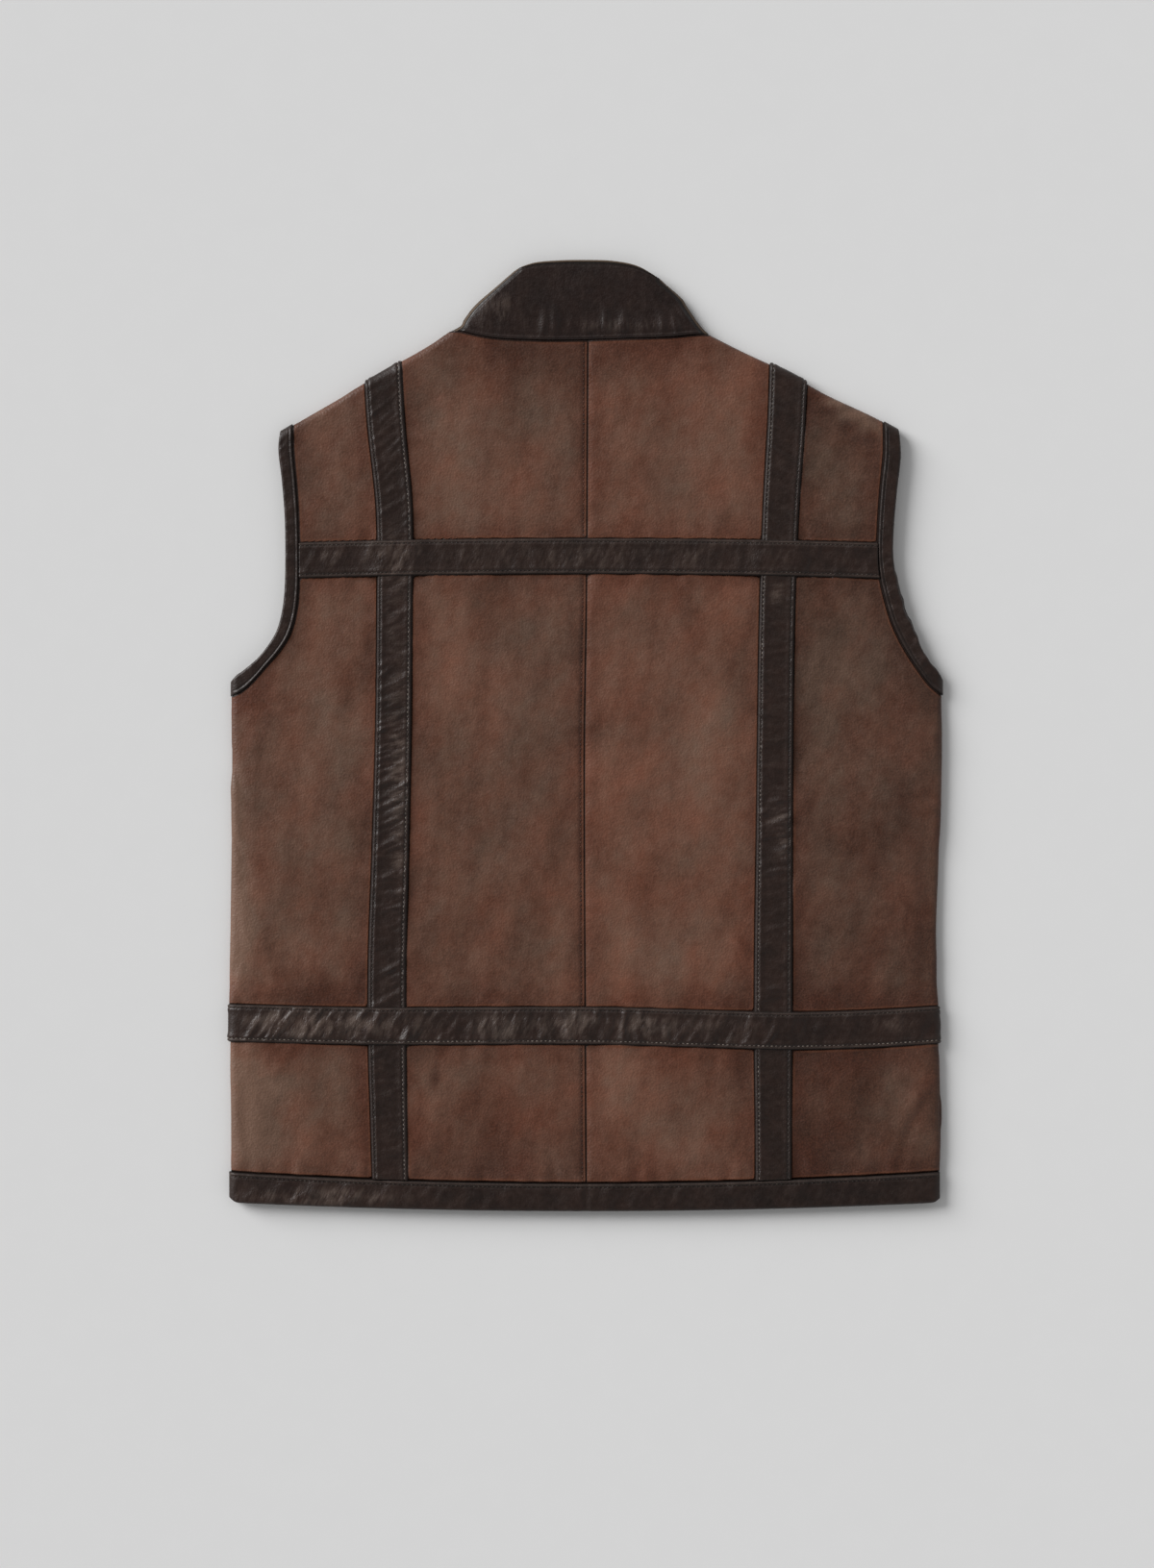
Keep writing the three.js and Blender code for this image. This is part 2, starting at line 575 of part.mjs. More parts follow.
// A vertical strip, from the hem seam up over the panels' join to the shoulder seam.
function verticalStrip(side) {
  const grid = shares(640, 30, [0], FOLD_STOPS).map((v) =>
    [-0.5, -0.17, 0.17, 0.5].map((across) => {
      const topX = stripX[side](282) + across * stripWidth(282);
      const topY = shoulder[side].getPointAt(shareAt(shoulder[side], "x", topX)).y;
      const hemX = stripX[side](HEM_SEAM.middle) + across * stripWidth(HEM_SEAM.middle);
      const y = lerp(hemSeamY(hemX) + SEAM / 2, topY, v);
      const level = Math.min(y, 282);
      return stripCell(point(stripX[side](level) + across * stripWidth(level), y));
    }),
  );
  return wall(`strip_vertical_${side}`, grid, LEATHER.dark);
}

// A strip across the back between two ends, each an x at a height, lifted where it crosses the vertical strips.
function crossStrip(name, centreY, width, ends, endStops) {
  const grid = [-0.5, 0, 0.5].map((across) => {
    const y = centreY(0) + across * width;
    const fromX = ends.left(y);
    const length = ends.right(y) - fromX;
    const half = stripWidth(y) / 2;
    const climbs = ["left", "right"].flatMap((side) =>
      [-half - STRIP_RAMP, -half - 1, half + 1, half + STRIP_RAMP].map((d) => stripX[side](y) + d - fromX),
    );
    const [a, b, c, d, e, f, g, h] = climbs.map((x) => x / length);
    const stretch = (from, to, steps) => shares(1, steps).map((s) => lerp(from, to, s));
    const toStrip = shares(a * length, 4, endStops).map((s) => s * a);
    const fromStrip = shares((1 - h) * length, 4, [0], endStops).map((s) => lerp(h, 1, s));
    const columns = [...toStrip, ...stretch(b, c, 2), ...stretch(d, e, 10), ...stretch(f, g, 2), ...fromStrip];
    return columns.map((u) => {
      const x = lerp(fromX, fromX + length, u);
      const at = point(x, centreY(x) + across * width);
      return stripCell(at, overStrips(at.x, at.y));
    });
  });
  return wall(name, grid, LEATHER.dark);
}

const chestEnd = (side) => (y) => armSeam[side].getPointAt(shareAt(armSeam[side], "y", y)).x + sign[side] * SEAM;
const CHEST_ENDS = { left: chestEnd("left"), right: chestEnd("right") };

// The hem band: one wall along the back, and one along each front, with a rounded lower edge.
function hemBand(name, layer, fromX, toX, side) {
  const height = HEM_SEAM.middle - HEM_EDGE.middle;
  const bound = BOUND[layer];
  const steps = layer === "back" ? 24 : 10;
  const across = shares(Math.abs(toX - fromX), steps, FOLD_STOPS, layer === "back" ? FOLD_STOPS : [0]);
  const grid = shares(height, 2, EDGE_STOPS).map((v) => {
    const cellAt = (x) => {
      const y = lerp(hemEdgeY(x), hemSeamY(x) - SEAM / 2, v);
      return { ...bound, ...rounded(v * height, bound), at: point(x, y) };
    };
    const cells = across.map((u) => cellAt(lerp(fromX, toX, u)));
    if (!side) return cells;
    const inLap = { ...bound, ...rounded(v * height, lapDepth(side, bound)) };
    return [...cells, ...lapCells(side, cells.at(-1).at.y, inLap)];
  });
  return wall(name, grid, LEATHER.dark);
}

// The collar: one wall from the lap, round under the left fold, across the back neck and round to the lap.
function collar() {
  const height = 62;
  const run = (curve) => (t) => curve.getPointAt(t);
  const overSurface = patch({
    bottom: (u) => beside(neckSeam, u, SEAM / 2),
    top: run(collarTop),
    left: run(collarFold.left),
    right: run(collarFold.right),
  });
  const underSurface = (side) => {
    const bottom = (u) => beside(frontNeck[side], u, (sign[side] * SEAM) / 2);
    const end = (v) => point(-sign[side] * LAP_ROOT, lerp(bottom(1).y, frontTop[side].getPointAt(1).y, v));
    return patch({ bottom, top: run(frontTop[side]), left: run(collarFold[side]), right: end });
  };
  const surfaces = { left: underSurface("left"), right: underSurface("right") };
  const grid = shares(height, 4, [0], EDGE_STOPS).map((v) => {
    const toEdge = (1 - v) * height;
    const over = neckShares.map((u) => ({
      at: overSurface(u, v),
      layer: "back",
      form: NECK,
      bridges: true,
      seamAlong: v === 0 ? neckSeam.getTangentAt(u) : undefined,
      ...rounded(toEdge, { outer: BINDING_RISE * smooth(0, 0.06, u) * smooth(0, 0.06, 1 - u), inner: -WALL }),
    }));
    const under = (side) => {
      const depth = { outer: 0, inner: -WALL };
      const cells = frontNeckShares.slice(1).map((u) => ({
        at: surfaces[side](u, v),
        layer: "front",
        form: NECK,
        seamAlong: v === 0 ? frontNeck[side].getTangentAt(u) : undefined,
        ...rounded(toEdge, depth),
      }));
      const { at, ...cell } = cells.at(-1);
      return [...cells, ...lapCells(side, at.y, { ...cell, ...rounded(toEdge, lapDepth(side, depth)) })];
    };
    return [...under("left").reverse(), ...over, ...under("right")];
  });
  return wall("collar", grid, LEATHER.dark);
}

const vest = new THREE.Group();
for (const side of ["left", "right"]) {
  vest.add(backSidePanel(side), backCentrePanel(side), front(side), verticalStrip(side));
  vest.add(armholeBinding(side, "back"), armholeBinding(side, "front"));
}
const hemLeft = sideX.left(-360);
const hemRight = sideX.right(-360);
vest.add(
  crossStrip("strip_chest", chestY, CHEST_STRIP.width, CHEST_ENDS, [0]),
  crossStrip("strip_waist", waistY, WAIST_WIDTH, sideX, FOLD_STOPS),
  hemBand("hem_band_back", "back", hemLeft, hemRight),
  hemBand("hem_band_front_left", "front", hemLeft, -LAP_ROOT, "left"),
  hemBand("hem_band_front_right", "front", hemRight, LAP_ROOT, "right"),
  collar(),
);

export default vest;
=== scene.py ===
# A lined leather vest laid face down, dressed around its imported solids.
# Plan places and depths are in millimetres until a mesh is made.
# X runs across the back, Y from hem to collar, Z up from the surface that the vest lies on.
import math

import bmesh
import bpy
import numpy as np
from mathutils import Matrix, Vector


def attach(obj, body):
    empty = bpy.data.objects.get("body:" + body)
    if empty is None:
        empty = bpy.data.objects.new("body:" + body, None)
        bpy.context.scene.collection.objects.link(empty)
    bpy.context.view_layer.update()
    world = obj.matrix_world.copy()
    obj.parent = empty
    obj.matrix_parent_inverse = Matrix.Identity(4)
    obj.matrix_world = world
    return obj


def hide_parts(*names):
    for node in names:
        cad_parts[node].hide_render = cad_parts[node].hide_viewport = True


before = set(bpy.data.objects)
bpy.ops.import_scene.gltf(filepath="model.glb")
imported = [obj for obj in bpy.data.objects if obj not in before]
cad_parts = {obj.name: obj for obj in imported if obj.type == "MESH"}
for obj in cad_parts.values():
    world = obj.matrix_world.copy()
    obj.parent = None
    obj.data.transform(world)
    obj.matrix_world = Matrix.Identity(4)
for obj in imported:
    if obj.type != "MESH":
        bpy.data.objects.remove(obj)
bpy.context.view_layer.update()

MM = 0.001

# Cloth thicknesses and clearances
WALL = 3
STRIP = 1.2
BINDING_RISE = 1.2
SEAM = 0.3
LAP = 9
LAP_ROOT = LAP + 2 * SEAM
PANEL_SHELL = 2.2
FRONT_SHELL = 1.2
EDGE_SHELL = 0.6
STRIP_SHELL = 1.7

# How the vest lies: its folds, the height of its back, and how that falls near the sides
FOLD_HEIGHT = 4.8
FOLD_REACH = 4.8
BACK_HEIGHT = 9.1
NOSE = (WALL + BINDING_RISE) / 2
SIDE_FALL = 1.3
SIDE_FALL_REACH = 20
SIDE_FALL_FADE = (60, 160)  # heights up the vest between which the fall fades out

# Side seams: x at a height up the vest
SIDE_SEAM = [
    (-368, -278.6, 277.3),
    (-328, -278.1, 278.6),
    (-253, -278.8, 277.8),
    (-160, -278.8, 275.8),
    (-100, -278.0, 277.6),
    (-40, -277.4, 279.1),
    (46, -277.3, 279.9),
]

# Shoulder seams, from the neck to the armhole edge
SHOULDER = {
    "left": [
        (-105.5, 317.3), (-132.5, 299.8), (-168, 279.6), (-197.7, 262), (-229.7, 243.6), (-240.6, 237.2),
    ],
    "right": [
        (97, 315), (125.7, 300.6), (159, 285), (192.8, 265.6), (221.7, 252.2), (234.8, 245.6), (247.6, 238.6),
    ],
}

# Armholes, from the underarm to the shoulder: where the binding is sewn on, and its outer edge
ARMHOLE_SEAM = {
    "left": [
        (-277.3, 31), (-270, 34.4), (-261.5, 41.8), (-250, 55), (-240.5, 66), (-232.5, 78.5), (-227.5, 94.5),
        (-225.2, 114), (-224.7, 140), (-225.4, 172), (-227.5, 202), (-229.6, 226), (-229.7, 243.6),
    ],
    "right": [
        (279.9, 32), (271, 39.4), (262.5, 50.4), (255, 61.6), (247.5, 74.6), (240.6, 90), (235.6, 107),
        (231.7, 124), (229.9, 142), (230.4, 166), (232.3, 194), (235, 222), (234.8, 245.6),
    ],
}
ARMHOLE_EDGE = {
    "left": [
        (-277.3, 43.5), (-273.8, 47.4), (-268, 51.4), (-257.2, 60.6), (-248.4, 71.6), (-242.1, 82.6),
        (-238.2, 96.6), (-236, 114.6), (-235.4, 140), (-235.9, 171.5), (-238.2, 200.8), (-240.8, 223),
        (-239.8, 237.7),
    ],
    "right": [
        (279.9, 45), (276, 52), (270.8, 57.6), (264.8, 68), (258.8, 81), (252.4, 95.4), (247.8, 110.6),
        (243.9, 126.4), (241.8, 142.6), (242.5, 165.2), (244.9, 192.4), (247.8, 218.6), (246.6, 239.2),
    ],
}
FRONT_ARMHOLE_PEEK = 1.6
PEEK_END = 0.62  # share of the armhole's length where the front's binding is hidden again

# Vertical strips: height, centre lines left and right, width; then the width that they are cut to
VERTICAL_STRIP = [
    (-360, -152.7, 147.8, 28),
    (-300, -154, 147.8, 28.5),
    (-245, -155.2, 147.6, 29.5),
    (-177, -155.2, 147.8, 29.5),
    (-100, -153, 148.4, 28.6),
    (4, -150.5, 149.2, 27.8),
    (100, -149.5, 150.7, 27.6),
    (177, -149.7, 153.6, 28),
    (246, -156.2, 158, 29.2),
    (300, -159.2, 160.2, 29.6),
]
VERTICAL_WIDTH = 28.5
VERTICAL_LENGTH = 640
STRIP_TOP = 282

# Centre back seam, the row of sewing beside it, and the cross strips
CENTRE_SEAM = [(-360, 1), (-245, 0.4), (-20, -0.5), (110, 1.2), (320, 2.3)]
CENTRE_SEAM_DIP = 0.7
CENTRE_SEAM_REACH = 3
SEWN_ROW = 3
SEWN_ROW_WIDTH = 0.8
SEWN_ROW_DEPTH = 0.5
# lighter and redder by along the sewn row: painted shade in its groove, and redder
SEWN_ROW_SHADE = (-0.5, 0.3)
WAIST_STRIP = [
    (-280, -225.6), (-170, -228), (9, -227.8), (80, -229.8), (160, -231.8), (221, -230.4), (280, -227),
]
WAIST_WIDTH = 29.6
WAIST_LENGTH = 560
CHEST_WIDTH = 28.2
CHEST_LENGTH = 456
CHEST_MIDDLE = 140.7
CHEST_HALF = 227
CHEST_END_DROP = 3.4
STRIP_RAMP = 15

# Hem: its seam and its edge at the middle, and how much higher each is at the sides
HEM_HALF = 279
HEM_CORNER = 7
HEM_SEAM = -351.6
HEM_SEAM_RISE = 9
HEM_EDGE = -373.6
HEM_EDGE_RISE = 6.8

# Collar, pressed flat: back neck seam, folded sides and top edge, then the front half under it
COLLAR_SEAM = [
    (-105.5, 317.3), (-97.5, 317.2), (-83.9, 314), (-65.6, 311.4), (-30.9, 310.2), (1.9, 310.5),
    (32.1, 311.5), (64.8, 312.7), (84.9, 314.6), (97, 315),
]
COLLAR_FOLD = {
    "left": [(-105.5, 317.3), (-97.6, 321.8), (-94.9, 327), (-86, 338.4), (-69.4, 353), (-54, 366.5)],
    "right": [(97, 315), (89.8, 322.7), (80.2, 336.7), (75.4, 343.9), (60, 357.4)],
}
COLLAR_TOP = [
    (-54, 366.5), (-39.6, 371.3), (-21.3, 373), (0, 373.4), (22.5, 372.6), (41.7, 368.4), (60, 357.4),
]
COLLAR_HEIGHT = 62
FRONT_NECK = {
    "left": [(-105.5, 317.3), (-103.4, 300), (-92, 280), (-66, 264), (-32, 256.6), (-LAP_ROOT, 255)],
    "right": [(97, 315), (95.2, 300), (84, 280), (60, 264), (28, 256.4), (LAP_ROOT, 255)],
}
FRONT_COLLAR_TOP = {
    "left": [(-54, 366.5), (-52, 346), (-43, 328), (-25, 317), (-LAP_ROOT, 314)],
    "right": [(60, 357.4), (57, 342), (46, 326), (25, 316.4), (LAP_ROOT, 314)],
}

# Soft swells and hollows of the back as it lies: place, reach across and up, rise
SWELLS = [
    (-215, -120, 60, 120, 0.5),
    (-80, -60, 70, 150, 0.6),
    (75, 20, 65, 140, 0.6),
    (215, -60, 55, 90, 0.55),
    (-70, 225, 70, 60, 0.5),
    (85, 230, 60, 55, 0.5),
    (205, 228, 36, 16, 0.5),
    (-190, 205, 34, 45, 0.4),
    (225, -285, 50, 36, 0.5),
    (-215, -295, 50, 40, 0.4),
    (-245, 10, 28, 34, -0.5),
    (30, -165, 60, 40, -0.4),
    (-60, 340, 30, 24, 0.5),
    (20, 345, 40, 30, 0.4),
]

# Creases of the brown panels: from, to, width, rise (a trough where negative); each is bowed and fades out
CREASES = [
    (-278, -4, -266, -50, 3, -0.9),
    (-283, -10, -271, -56, 4, 0.5),
    (-276, -76, -262, -108, 2.2, -0.5),
    (-273, -172, -275, -208, 2.2, -0.6),
    (-268, -176, -270, -206, 2.5, 0.4),
    (-262, -196, -232, -210, 3, 0.5),
    (-250, -200, -225, -211, 2, -0.5),
    (-215, -202, -196, -212, 2, 0.35),
    (262, -44, 279, -51, 2.5, -0.8),
    (260, -50, 278, -57, 3.5, 0.5),
    (228, -198, 252, -212, 3, 0.6),
    (236, -196, 258, -209, 2.5, -0.5),
    (280, -272, 248, -330, 4, -0.8),
    (275, -266, 242, -322, 5, 0.6),
    (270, 8, 278, -14, 3, 0.5),
    (180, 270, 240, 238, 6, 1.0),
    (180, 262, 236, 226, 4, -0.9),
    (-232, 236, -190, 258, 7, 0.5),
    (-15, -150, -5, -158, 2, 0.4),
    (-16, -160, -5, -168, 2, 0.4),
    (-15, -172, -5, -179, 2, -0.4),
    (24, -190, 40, -150, 9, 0.4),
    (-62, -60, -48, 40, 14, 0.3),
    (-110, 20, -96, 120, 10, 0.35),
    (90, -60, 104, 80, 14, 0.35),
    (52, -100, 46, 30, 12, -0.3),
    (196, -30, 212, 120, 12, -0.3),
    (-206, -30, -196, 90, 12, 0.35),
    (-222, -270, -212, -340, 10, 0.35),
    (-271, -258, -265, -342, 4, 0.8),
    (-268, -118, -262, -172, 4, 0.7),
    (-274, -28, -269, -92, 3, 0.6),
    (-256, -150, -240, -200, 6, 0.5),
    (-70, -262, -52, -340, 12, -0.35),
    (66, -262, 78, -338, 10, 0.3),
    (-60, 190, -52, 280, 12, -0.35),
    (60, 190, 48, 282, 12, 0.3),
]
CREASE_BOW = 0.06
CREASE_FADE = 0.35

# Worn and stained places of the brown leather, with painted sheen and painted shade among them: place, reach
# across and up, lighter by, redder by
STAINS_SHEEN_AND_SHADE = [
    (-199, 91, 30, 40, 0.12, 0),
    (-210, 5, 35, 40, 0.14, 0),
    (-215, -120, 40, 50, 0.08, 0),
    (-262, 26, 18, 22, -0.25, 0.5),
    # painted sheen along the rolled left side
    (-277, -60, 9, 60, 0.35, -0.3),
    (-274, -150, 12, 45, 0.8, -0.4),
    (-270, -262, 16, 40, 0.7, -0.4),
    (-262, -325, 24, 36, 0.4, -0.2),
    (-199, -204, 36, 14, -0.45, 0.2),
    (-176, -185, 14, 22, -0.3, 0.1),
    (-172, -290, 10, 50, -0.3, 0.6),
    (-215, -300, 30, 40, 0.2, 0.1),
    # painted sheen low on the left
    (-246, -276, 14, 9, 0.2, -0.3),
    (-40, 298, 45, 22, -0.38, -0.1),
    (-35, 250, 32, 20, -0.05, -0.6),
    (-29, 75, 22, 60, -0.06, -0.6),
    (-108, 204, 20, 40, 0.22, 0.5),
    (-108, 68, 18, 50, 0.22, 0.5),
    (-18, -147, 16, 60, 0.15, 0),
    (-86, -204, 35, 16, -0.25, 0.1),
    (-70, -328, 50, 40, -0.35, 0.3),
    (-118, -268, 4, 9, -0.5, 0),
    (95, 0, 26, 50, 0.2, 0),
    (28, -170, 14, 40, 0.3, 0.1),
    (28, -281, 14, 40, 0.2, 0.1),
    (50, 298, 55, 20, -0.32, 0),
    (122, -181, 12, 40, -0.22, 0.2),
    (95, -206, 22, 12, -0.28, 0.2),
    (122, -255, 12, 50, -0.35, -0.2),
    (186, 204, 40, 50, 0.15, -0.5),
    # painted highlight on the facet below the right shoulder
    (197, 261, 11, 4, 0.6, -0.5),
    (210, 252, 10, 5, 0.6, -0.5),
    (223, 244, 9, 6, 0.6, -0.5),
    (233, 238, 7, 7, 0.6, -0.5),
    # painted shade under that facet
    (190, 256, 10, 4, -0.35, 0),
    (205, 243, 10, 5, -0.35, 0),
    (220, 232, 10, 5, -0.35, 0),
    (215, -290, 60, 60, -0.12, 0),
    (186, 60, 45, 80, 0.18, -0.5),
    (186, -206, 40, 14, -0.28, 0.1),
    (186, -253, 40, 20, -0.25, 0.1),
    (176, -330, 34, 30, -0.28, 0.2),
    # painted sheen low on the right
    (250, -300, 24, 34, 0.35, -0.1),
]

# Places of the dark leather given painted sheen, in the same way: lighter by is the painted sheen (darker
# where negative), which also deepens its fine wrinkles; then redder by
DARK_SHEEN_PATCHES = [
    (-150, 120, 20, 90, 0.2, 0),
    (-146, -45, 9, 80, 0.5, 0.1),
    (-155, -170, 20, 45, -0.05, 0),
    (-154, -280, 20, 40, -0.3, 0),
    (151, 112, 6, 14, 0.35, 0),
    (150, -63, 12, 9, 0.35, 0),
    (155, -90, 7, 20, 0.35, 0),
    (148, -295, 20, 50, -0.25, 0),
    (0, 141, 220, 18, 0.28, 0),
    (-200, 141, 10, 12, 0.25, 0),
    (-222, -226, 38, 10, 0.95, 0.1),
    (-150, -228, 40, 14, 0.4, 0.05),
    (-66, -228, 24, 13, 0.5, 0),
    (-10, -227, 24, 13, 0.55, 0),
    (48, -228, 24, 12, 0.45, 0),
    (112, -230, 36, 14, 0.3, 0),
    (190, -231, 24, 14, -0.1, 0),
    (245, -228, 26, 9, 0.3, 0),
    (-70, 336, 22, 18, 0.3, 0),
    (25, 322, 60, 7, 0.3, 0),
    (-205, -362, 75, 9, 0.5, 0),
    (-60, -362, 70, 12, -0.12, 0),
    (170, -362, 130, 14, -0.6, 0),
]

# Puckered stretches of a strip: from, to, height, pitch of the wrinkles, how far they lean over the width
WAIST_PUCKERS = [
    (-276, -262, 0.5, 8, 0.5),
    (-262, -172, 1.0, 6, 0.7),
    (-172, -90, 0.85, 7, 0.7),
    (-90, -40, 1.0, 8, 0.1),
    (-40, 16, 1.0, 8, 0),
    (16, 72, 0.95, 8, 0.1),
    (72, 150, 0.8, 7, 0.6),
    (150, 276, 0.6, 11, 0.4),
]
CHEST_PUCKERS = [(-224, -90, 0.45, 9, 0.3), (-90, 90, 0.55, 10, 0.1), (90, 228, 0.45, 9, 0.3)]
VERTICAL_PUCKERS = {
    "left": [
        (-352, -240, 0.4, 7, 0.2),
        (-212, -140, 0.6, 7, 0.3),
        (-140, 24, 0.85, 6, 0.1),
        (24, 130, 0.6, 8, 0.1),
        (150, 290, 0.4, 7, 0.2),
    ],
    "right": [
        (-352, -240, 0.35, 7, -0.2),
        (-212, -112, 0.6, 8, 0.3),
        (-112, -50, 1.0, 7, 0.5),
        (-50, 130, 0.4, 6, 0.2),
        (150, 290, 0.4, 7, -0.2),
    ],
}
BINDING_PUCKERS = {
    "left": [(0, 240, 0.35, 6, 0.3)],
    "right": [(0, 90, 0.7, 8, 0.6), (90, 240, 0.3, 7, 0.3)],
}
HEM_PUCKERS = [(0, 150, 0.7, 12, 0.7), (150, 400, 0.6, 12, 0.5), (400, 556, 0.4, 12, 0.4)]

# Seeds of the draws that set down the puckers, and the swells of the collar
VERTICAL_SEEDS = {"left": 20, "right": 30}
CHEST_SEED = 50
WAIST_SEED = 60
BINDING_SEEDS = {"left": 74, "right": 75}
HEM_SEED = 90
COLLAR_SEED = 102

# Upright folds of the collar above its seam: x at the seam, height of the middle, width, rise, lean
COLLAR_FOLDS = [
    (-82, 14, 5, 0.5, 0.3),
    (-33, 12, 3, 1.4, 0.05),
    (-24, 14, 3.5, 1.3, 0),
    (-12, 10, 3, 0.4, 0.1),
    (16, 14, 3, 1.2, 0),
    (22, 12, 2.5, -0.4, 0),
    (31, 13, 3, 1.2, -0.05),
    (46, 10, 4, 0.4, -0.1),
    (62, 11, 4, 1.2, -0.1),
    (73, 10, 3, 1.1, -0.2),
    (90, 20, 2.5, 1.3, -0.6),
]

# Stops across cloth, in millimetres from an edge
FOLD_STOPS = [0, 0.35, 0.8, 1.4, 2.2, 3.3, 4.8]
STRIP_STOPS = [0, 0.2, 0.5, 0.9, 1.4, 1.9, 2.4, 2.8, 3.2, 3.8, 4.8, 6, 7.5, 9.3, 11.6]
CENTRE_STOPS = [0, 0.8, 1.6, 2.4, 3.2, 4.2]

# Steps of the grids of cloth, finer where it is puckered and coarser where it is hidden
PANEL_STEP = 2.2
FRONT_STEP = 5
VERTICAL_STEP = 1.0
CROSS_STEP = 0.9
EDGE_STEP = 1.3
HIDDEN_EDGE_STEP = 2.6
COLLAR_STEP = 1.6
FRONT_COLLAR_STEP = 3

# Stitches: where the row lies, the space that each takes, its share of that, and its half width and height
STITCH_FROM_EDGE = 2.8
STITCH_PITCH = 3.5
STITCH_SPAN = (0.2, 0.82)
STITCH_HALF = (0.5, 0.4)

# Points in each span of a curve, and how many of them apart a run of them is read
SPAN_POINTS = 40
FOLD_RUN = 5
GAP_RUN = 20


def smooth(low, high, x):
    """A soft rise from 0 to 1 as x goes from low to high."""
    t = np.clip((x - low) / (high - low), 0, 1)
    return t * t * (3 - 2 * t)


def bell(x, width):
    return np.exp(-((x / width) ** 2))


def through(rows, column):
    """A smooth curve through one column of a table, read by its first column."""
    xs = np.array([row[0] for row in rows], float)
    ys = np.array([row[column] for row in rows], float)
    before = np.maximum(np.arange(len(xs)) - 1, 0)
    after = np.minimum(np.arange(len(xs)) + 1, len(xs) - 1)
    slopes = (ys[after] - ys[before]) / (xs[after] - xs[before])

    def read(x):
        inside = np.clip(x, xs[0], xs[-1])
        i = np.clip(np.searchsorted(xs, inside) - 1, 0, len(xs) - 2)
        span = xs[i + 1] - xs[i]
        t = (inside - xs[i]) / span
        bend = t * (1 - t) * span * ((1 - t) * slopes[i] - t * slopes[i + 1])
        return ys[i] + (ys[i + 1] - ys[i]) * t * t * (3 - 2 * t) + bend

    return read


class Curve:
    """A smooth line through plan points, read by the share of its length."""

    def __init__(self, points):
        knots = np.array(points, float)
        last = len(knots) - 1
        t = np.linspace(0, last, last * SPAN_POINTS + 1)
        i = np.minimum(t.astype(int), last - 1)
        w = (t - i)[:, None]
        before, here = knots[np.maximum(i - 1, 0)], knots[i]
        after, beyond = knots[i + 1], knots[np.minimum(i + 2, last)]
        leaving, arriving = (after - before) / 2, (beyond - here) / 2
        self.run = (
            (2 * here - 2 * after + leaving + arriving) * w**3
            + (3 * after - 3 * here - 2 * leaving - arriving) * w**2
            + leaving * w
            + here
        )
        self.reach = np.append(0, np.cumsum(np.hypot(*np.diff(self.run, axis=0).T)))
        self.length = self.reach[-1]

    def at(self, share):
        reach = np.clip(share, 0, 1) * self.length
        return np.stack([np.interp(reach, self.reach, self.run[:, axis]) for axis in (0, 1)], -1)

    def along(self, share):
        """The way that the line runs."""
        near = 0.002
        step = self.at(np.minimum(share + near, 1)) - self.at(np.maximum(share - near, 0))
        return step / np.linalg.norm(step, axis=-1, keepdims=True)

    def beside(self, share, distance):
        """A point on the line, moved to the left of the way that it runs."""
        along = self.along(share)
        return self.at(share) + np.stack([-along[..., 1], along[..., 0]], -1) * distance

    def share_at(self, axis, value):
        """The share of the length where x or y has a value."""
        values = self.run[:, axis]
        rising = 1 if values[-1] > values[0] else -1
        return np.interp(rising * np.asarray(value), rising * values, self.reach) / self.length


SIGN = {"left": 1, "right": -1}
side_x = {"left": through(SIDE_SEAM, 1), "right": through(SIDE_SEAM, 2)}
strip_x = {"left": through(VERTICAL_STRIP, 1), "right": through(VERTICAL_STRIP, 2)}
strip_width = through(VERTICAL_STRIP, 3)
centre_x = through(CENTRE_SEAM, 1)
waist_y = through(WAIST_STRIP, 1)
shoulder = {side: Curve(points) for side, points in SHOULDER.items()}
arm_seam = {side: Curve(points) for side, points in ARMHOLE_SEAM.items()}
arm_edge = {side: Curve(points) for side, points in ARMHOLE_EDGE.items()}
neck_seam = Curve(COLLAR_SEAM)
front_neck = {side: Curve(points) for side, points in FRONT_NECK.items()}
front_top = {side: Curve(points) for side, points in FRONT_COLLAR_TOP.items()}
collar_fold = {side: Curve(points) for side, points in COLLAR_FOLD.items()}
collar_top = Curve(COLLAR_TOP)


def chest_y(x):
    return CHEST_MIDDLE - CHEST_END_DROP * (x / CHEST_HALF) ** 2


def hem_seam_y(x):
    return HEM_SEAM + HEM_SEAM_RISE * (x / HEM_HALF) ** 2


def hem_edge_y(x):
    past = np.maximum(np.abs(x) - (HEM_HALF - HEM_CORNER), 0)
    return HEM_EDGE + HEM_EDGE_RISE * (x / HEM_HALF) ** 2 + past**2 / HEM_CORNER / 2


def side_line(side):
    return np.array([(side_x[side](y), y) for y, _, _ in SIDE_SEAM])


def collar_line(side, seam_end):
    return np.vstack([neck_seam.beside(seam_end, SEAM / 2)[None], collar_fold[side].run[FOLD_RUN::FOLD_RUN]])


# Fold lines that the cloth turns over, each as a run of points, and a place inside them
BODY = {
    "middle": np.array([0, -20]),
    "folds": [side_line(side) for side in SIGN] + [shoulder[side].run[::FOLD_RUN] for side in SIGN],
}
NECK = {"middle": np.array([0, 330]), "folds": [collar_line("left", 0.0), collar_line("right", 1.0)]}


def stretch_gap(at, start, end):
    """Distance from plan points to a straight stretch."""
    along = end - start
    t = np.clip((at - start) @ along / (along @ along), 0, 1)
    return np.linalg.norm(at - start - t[..., None] * along, axis=-1)


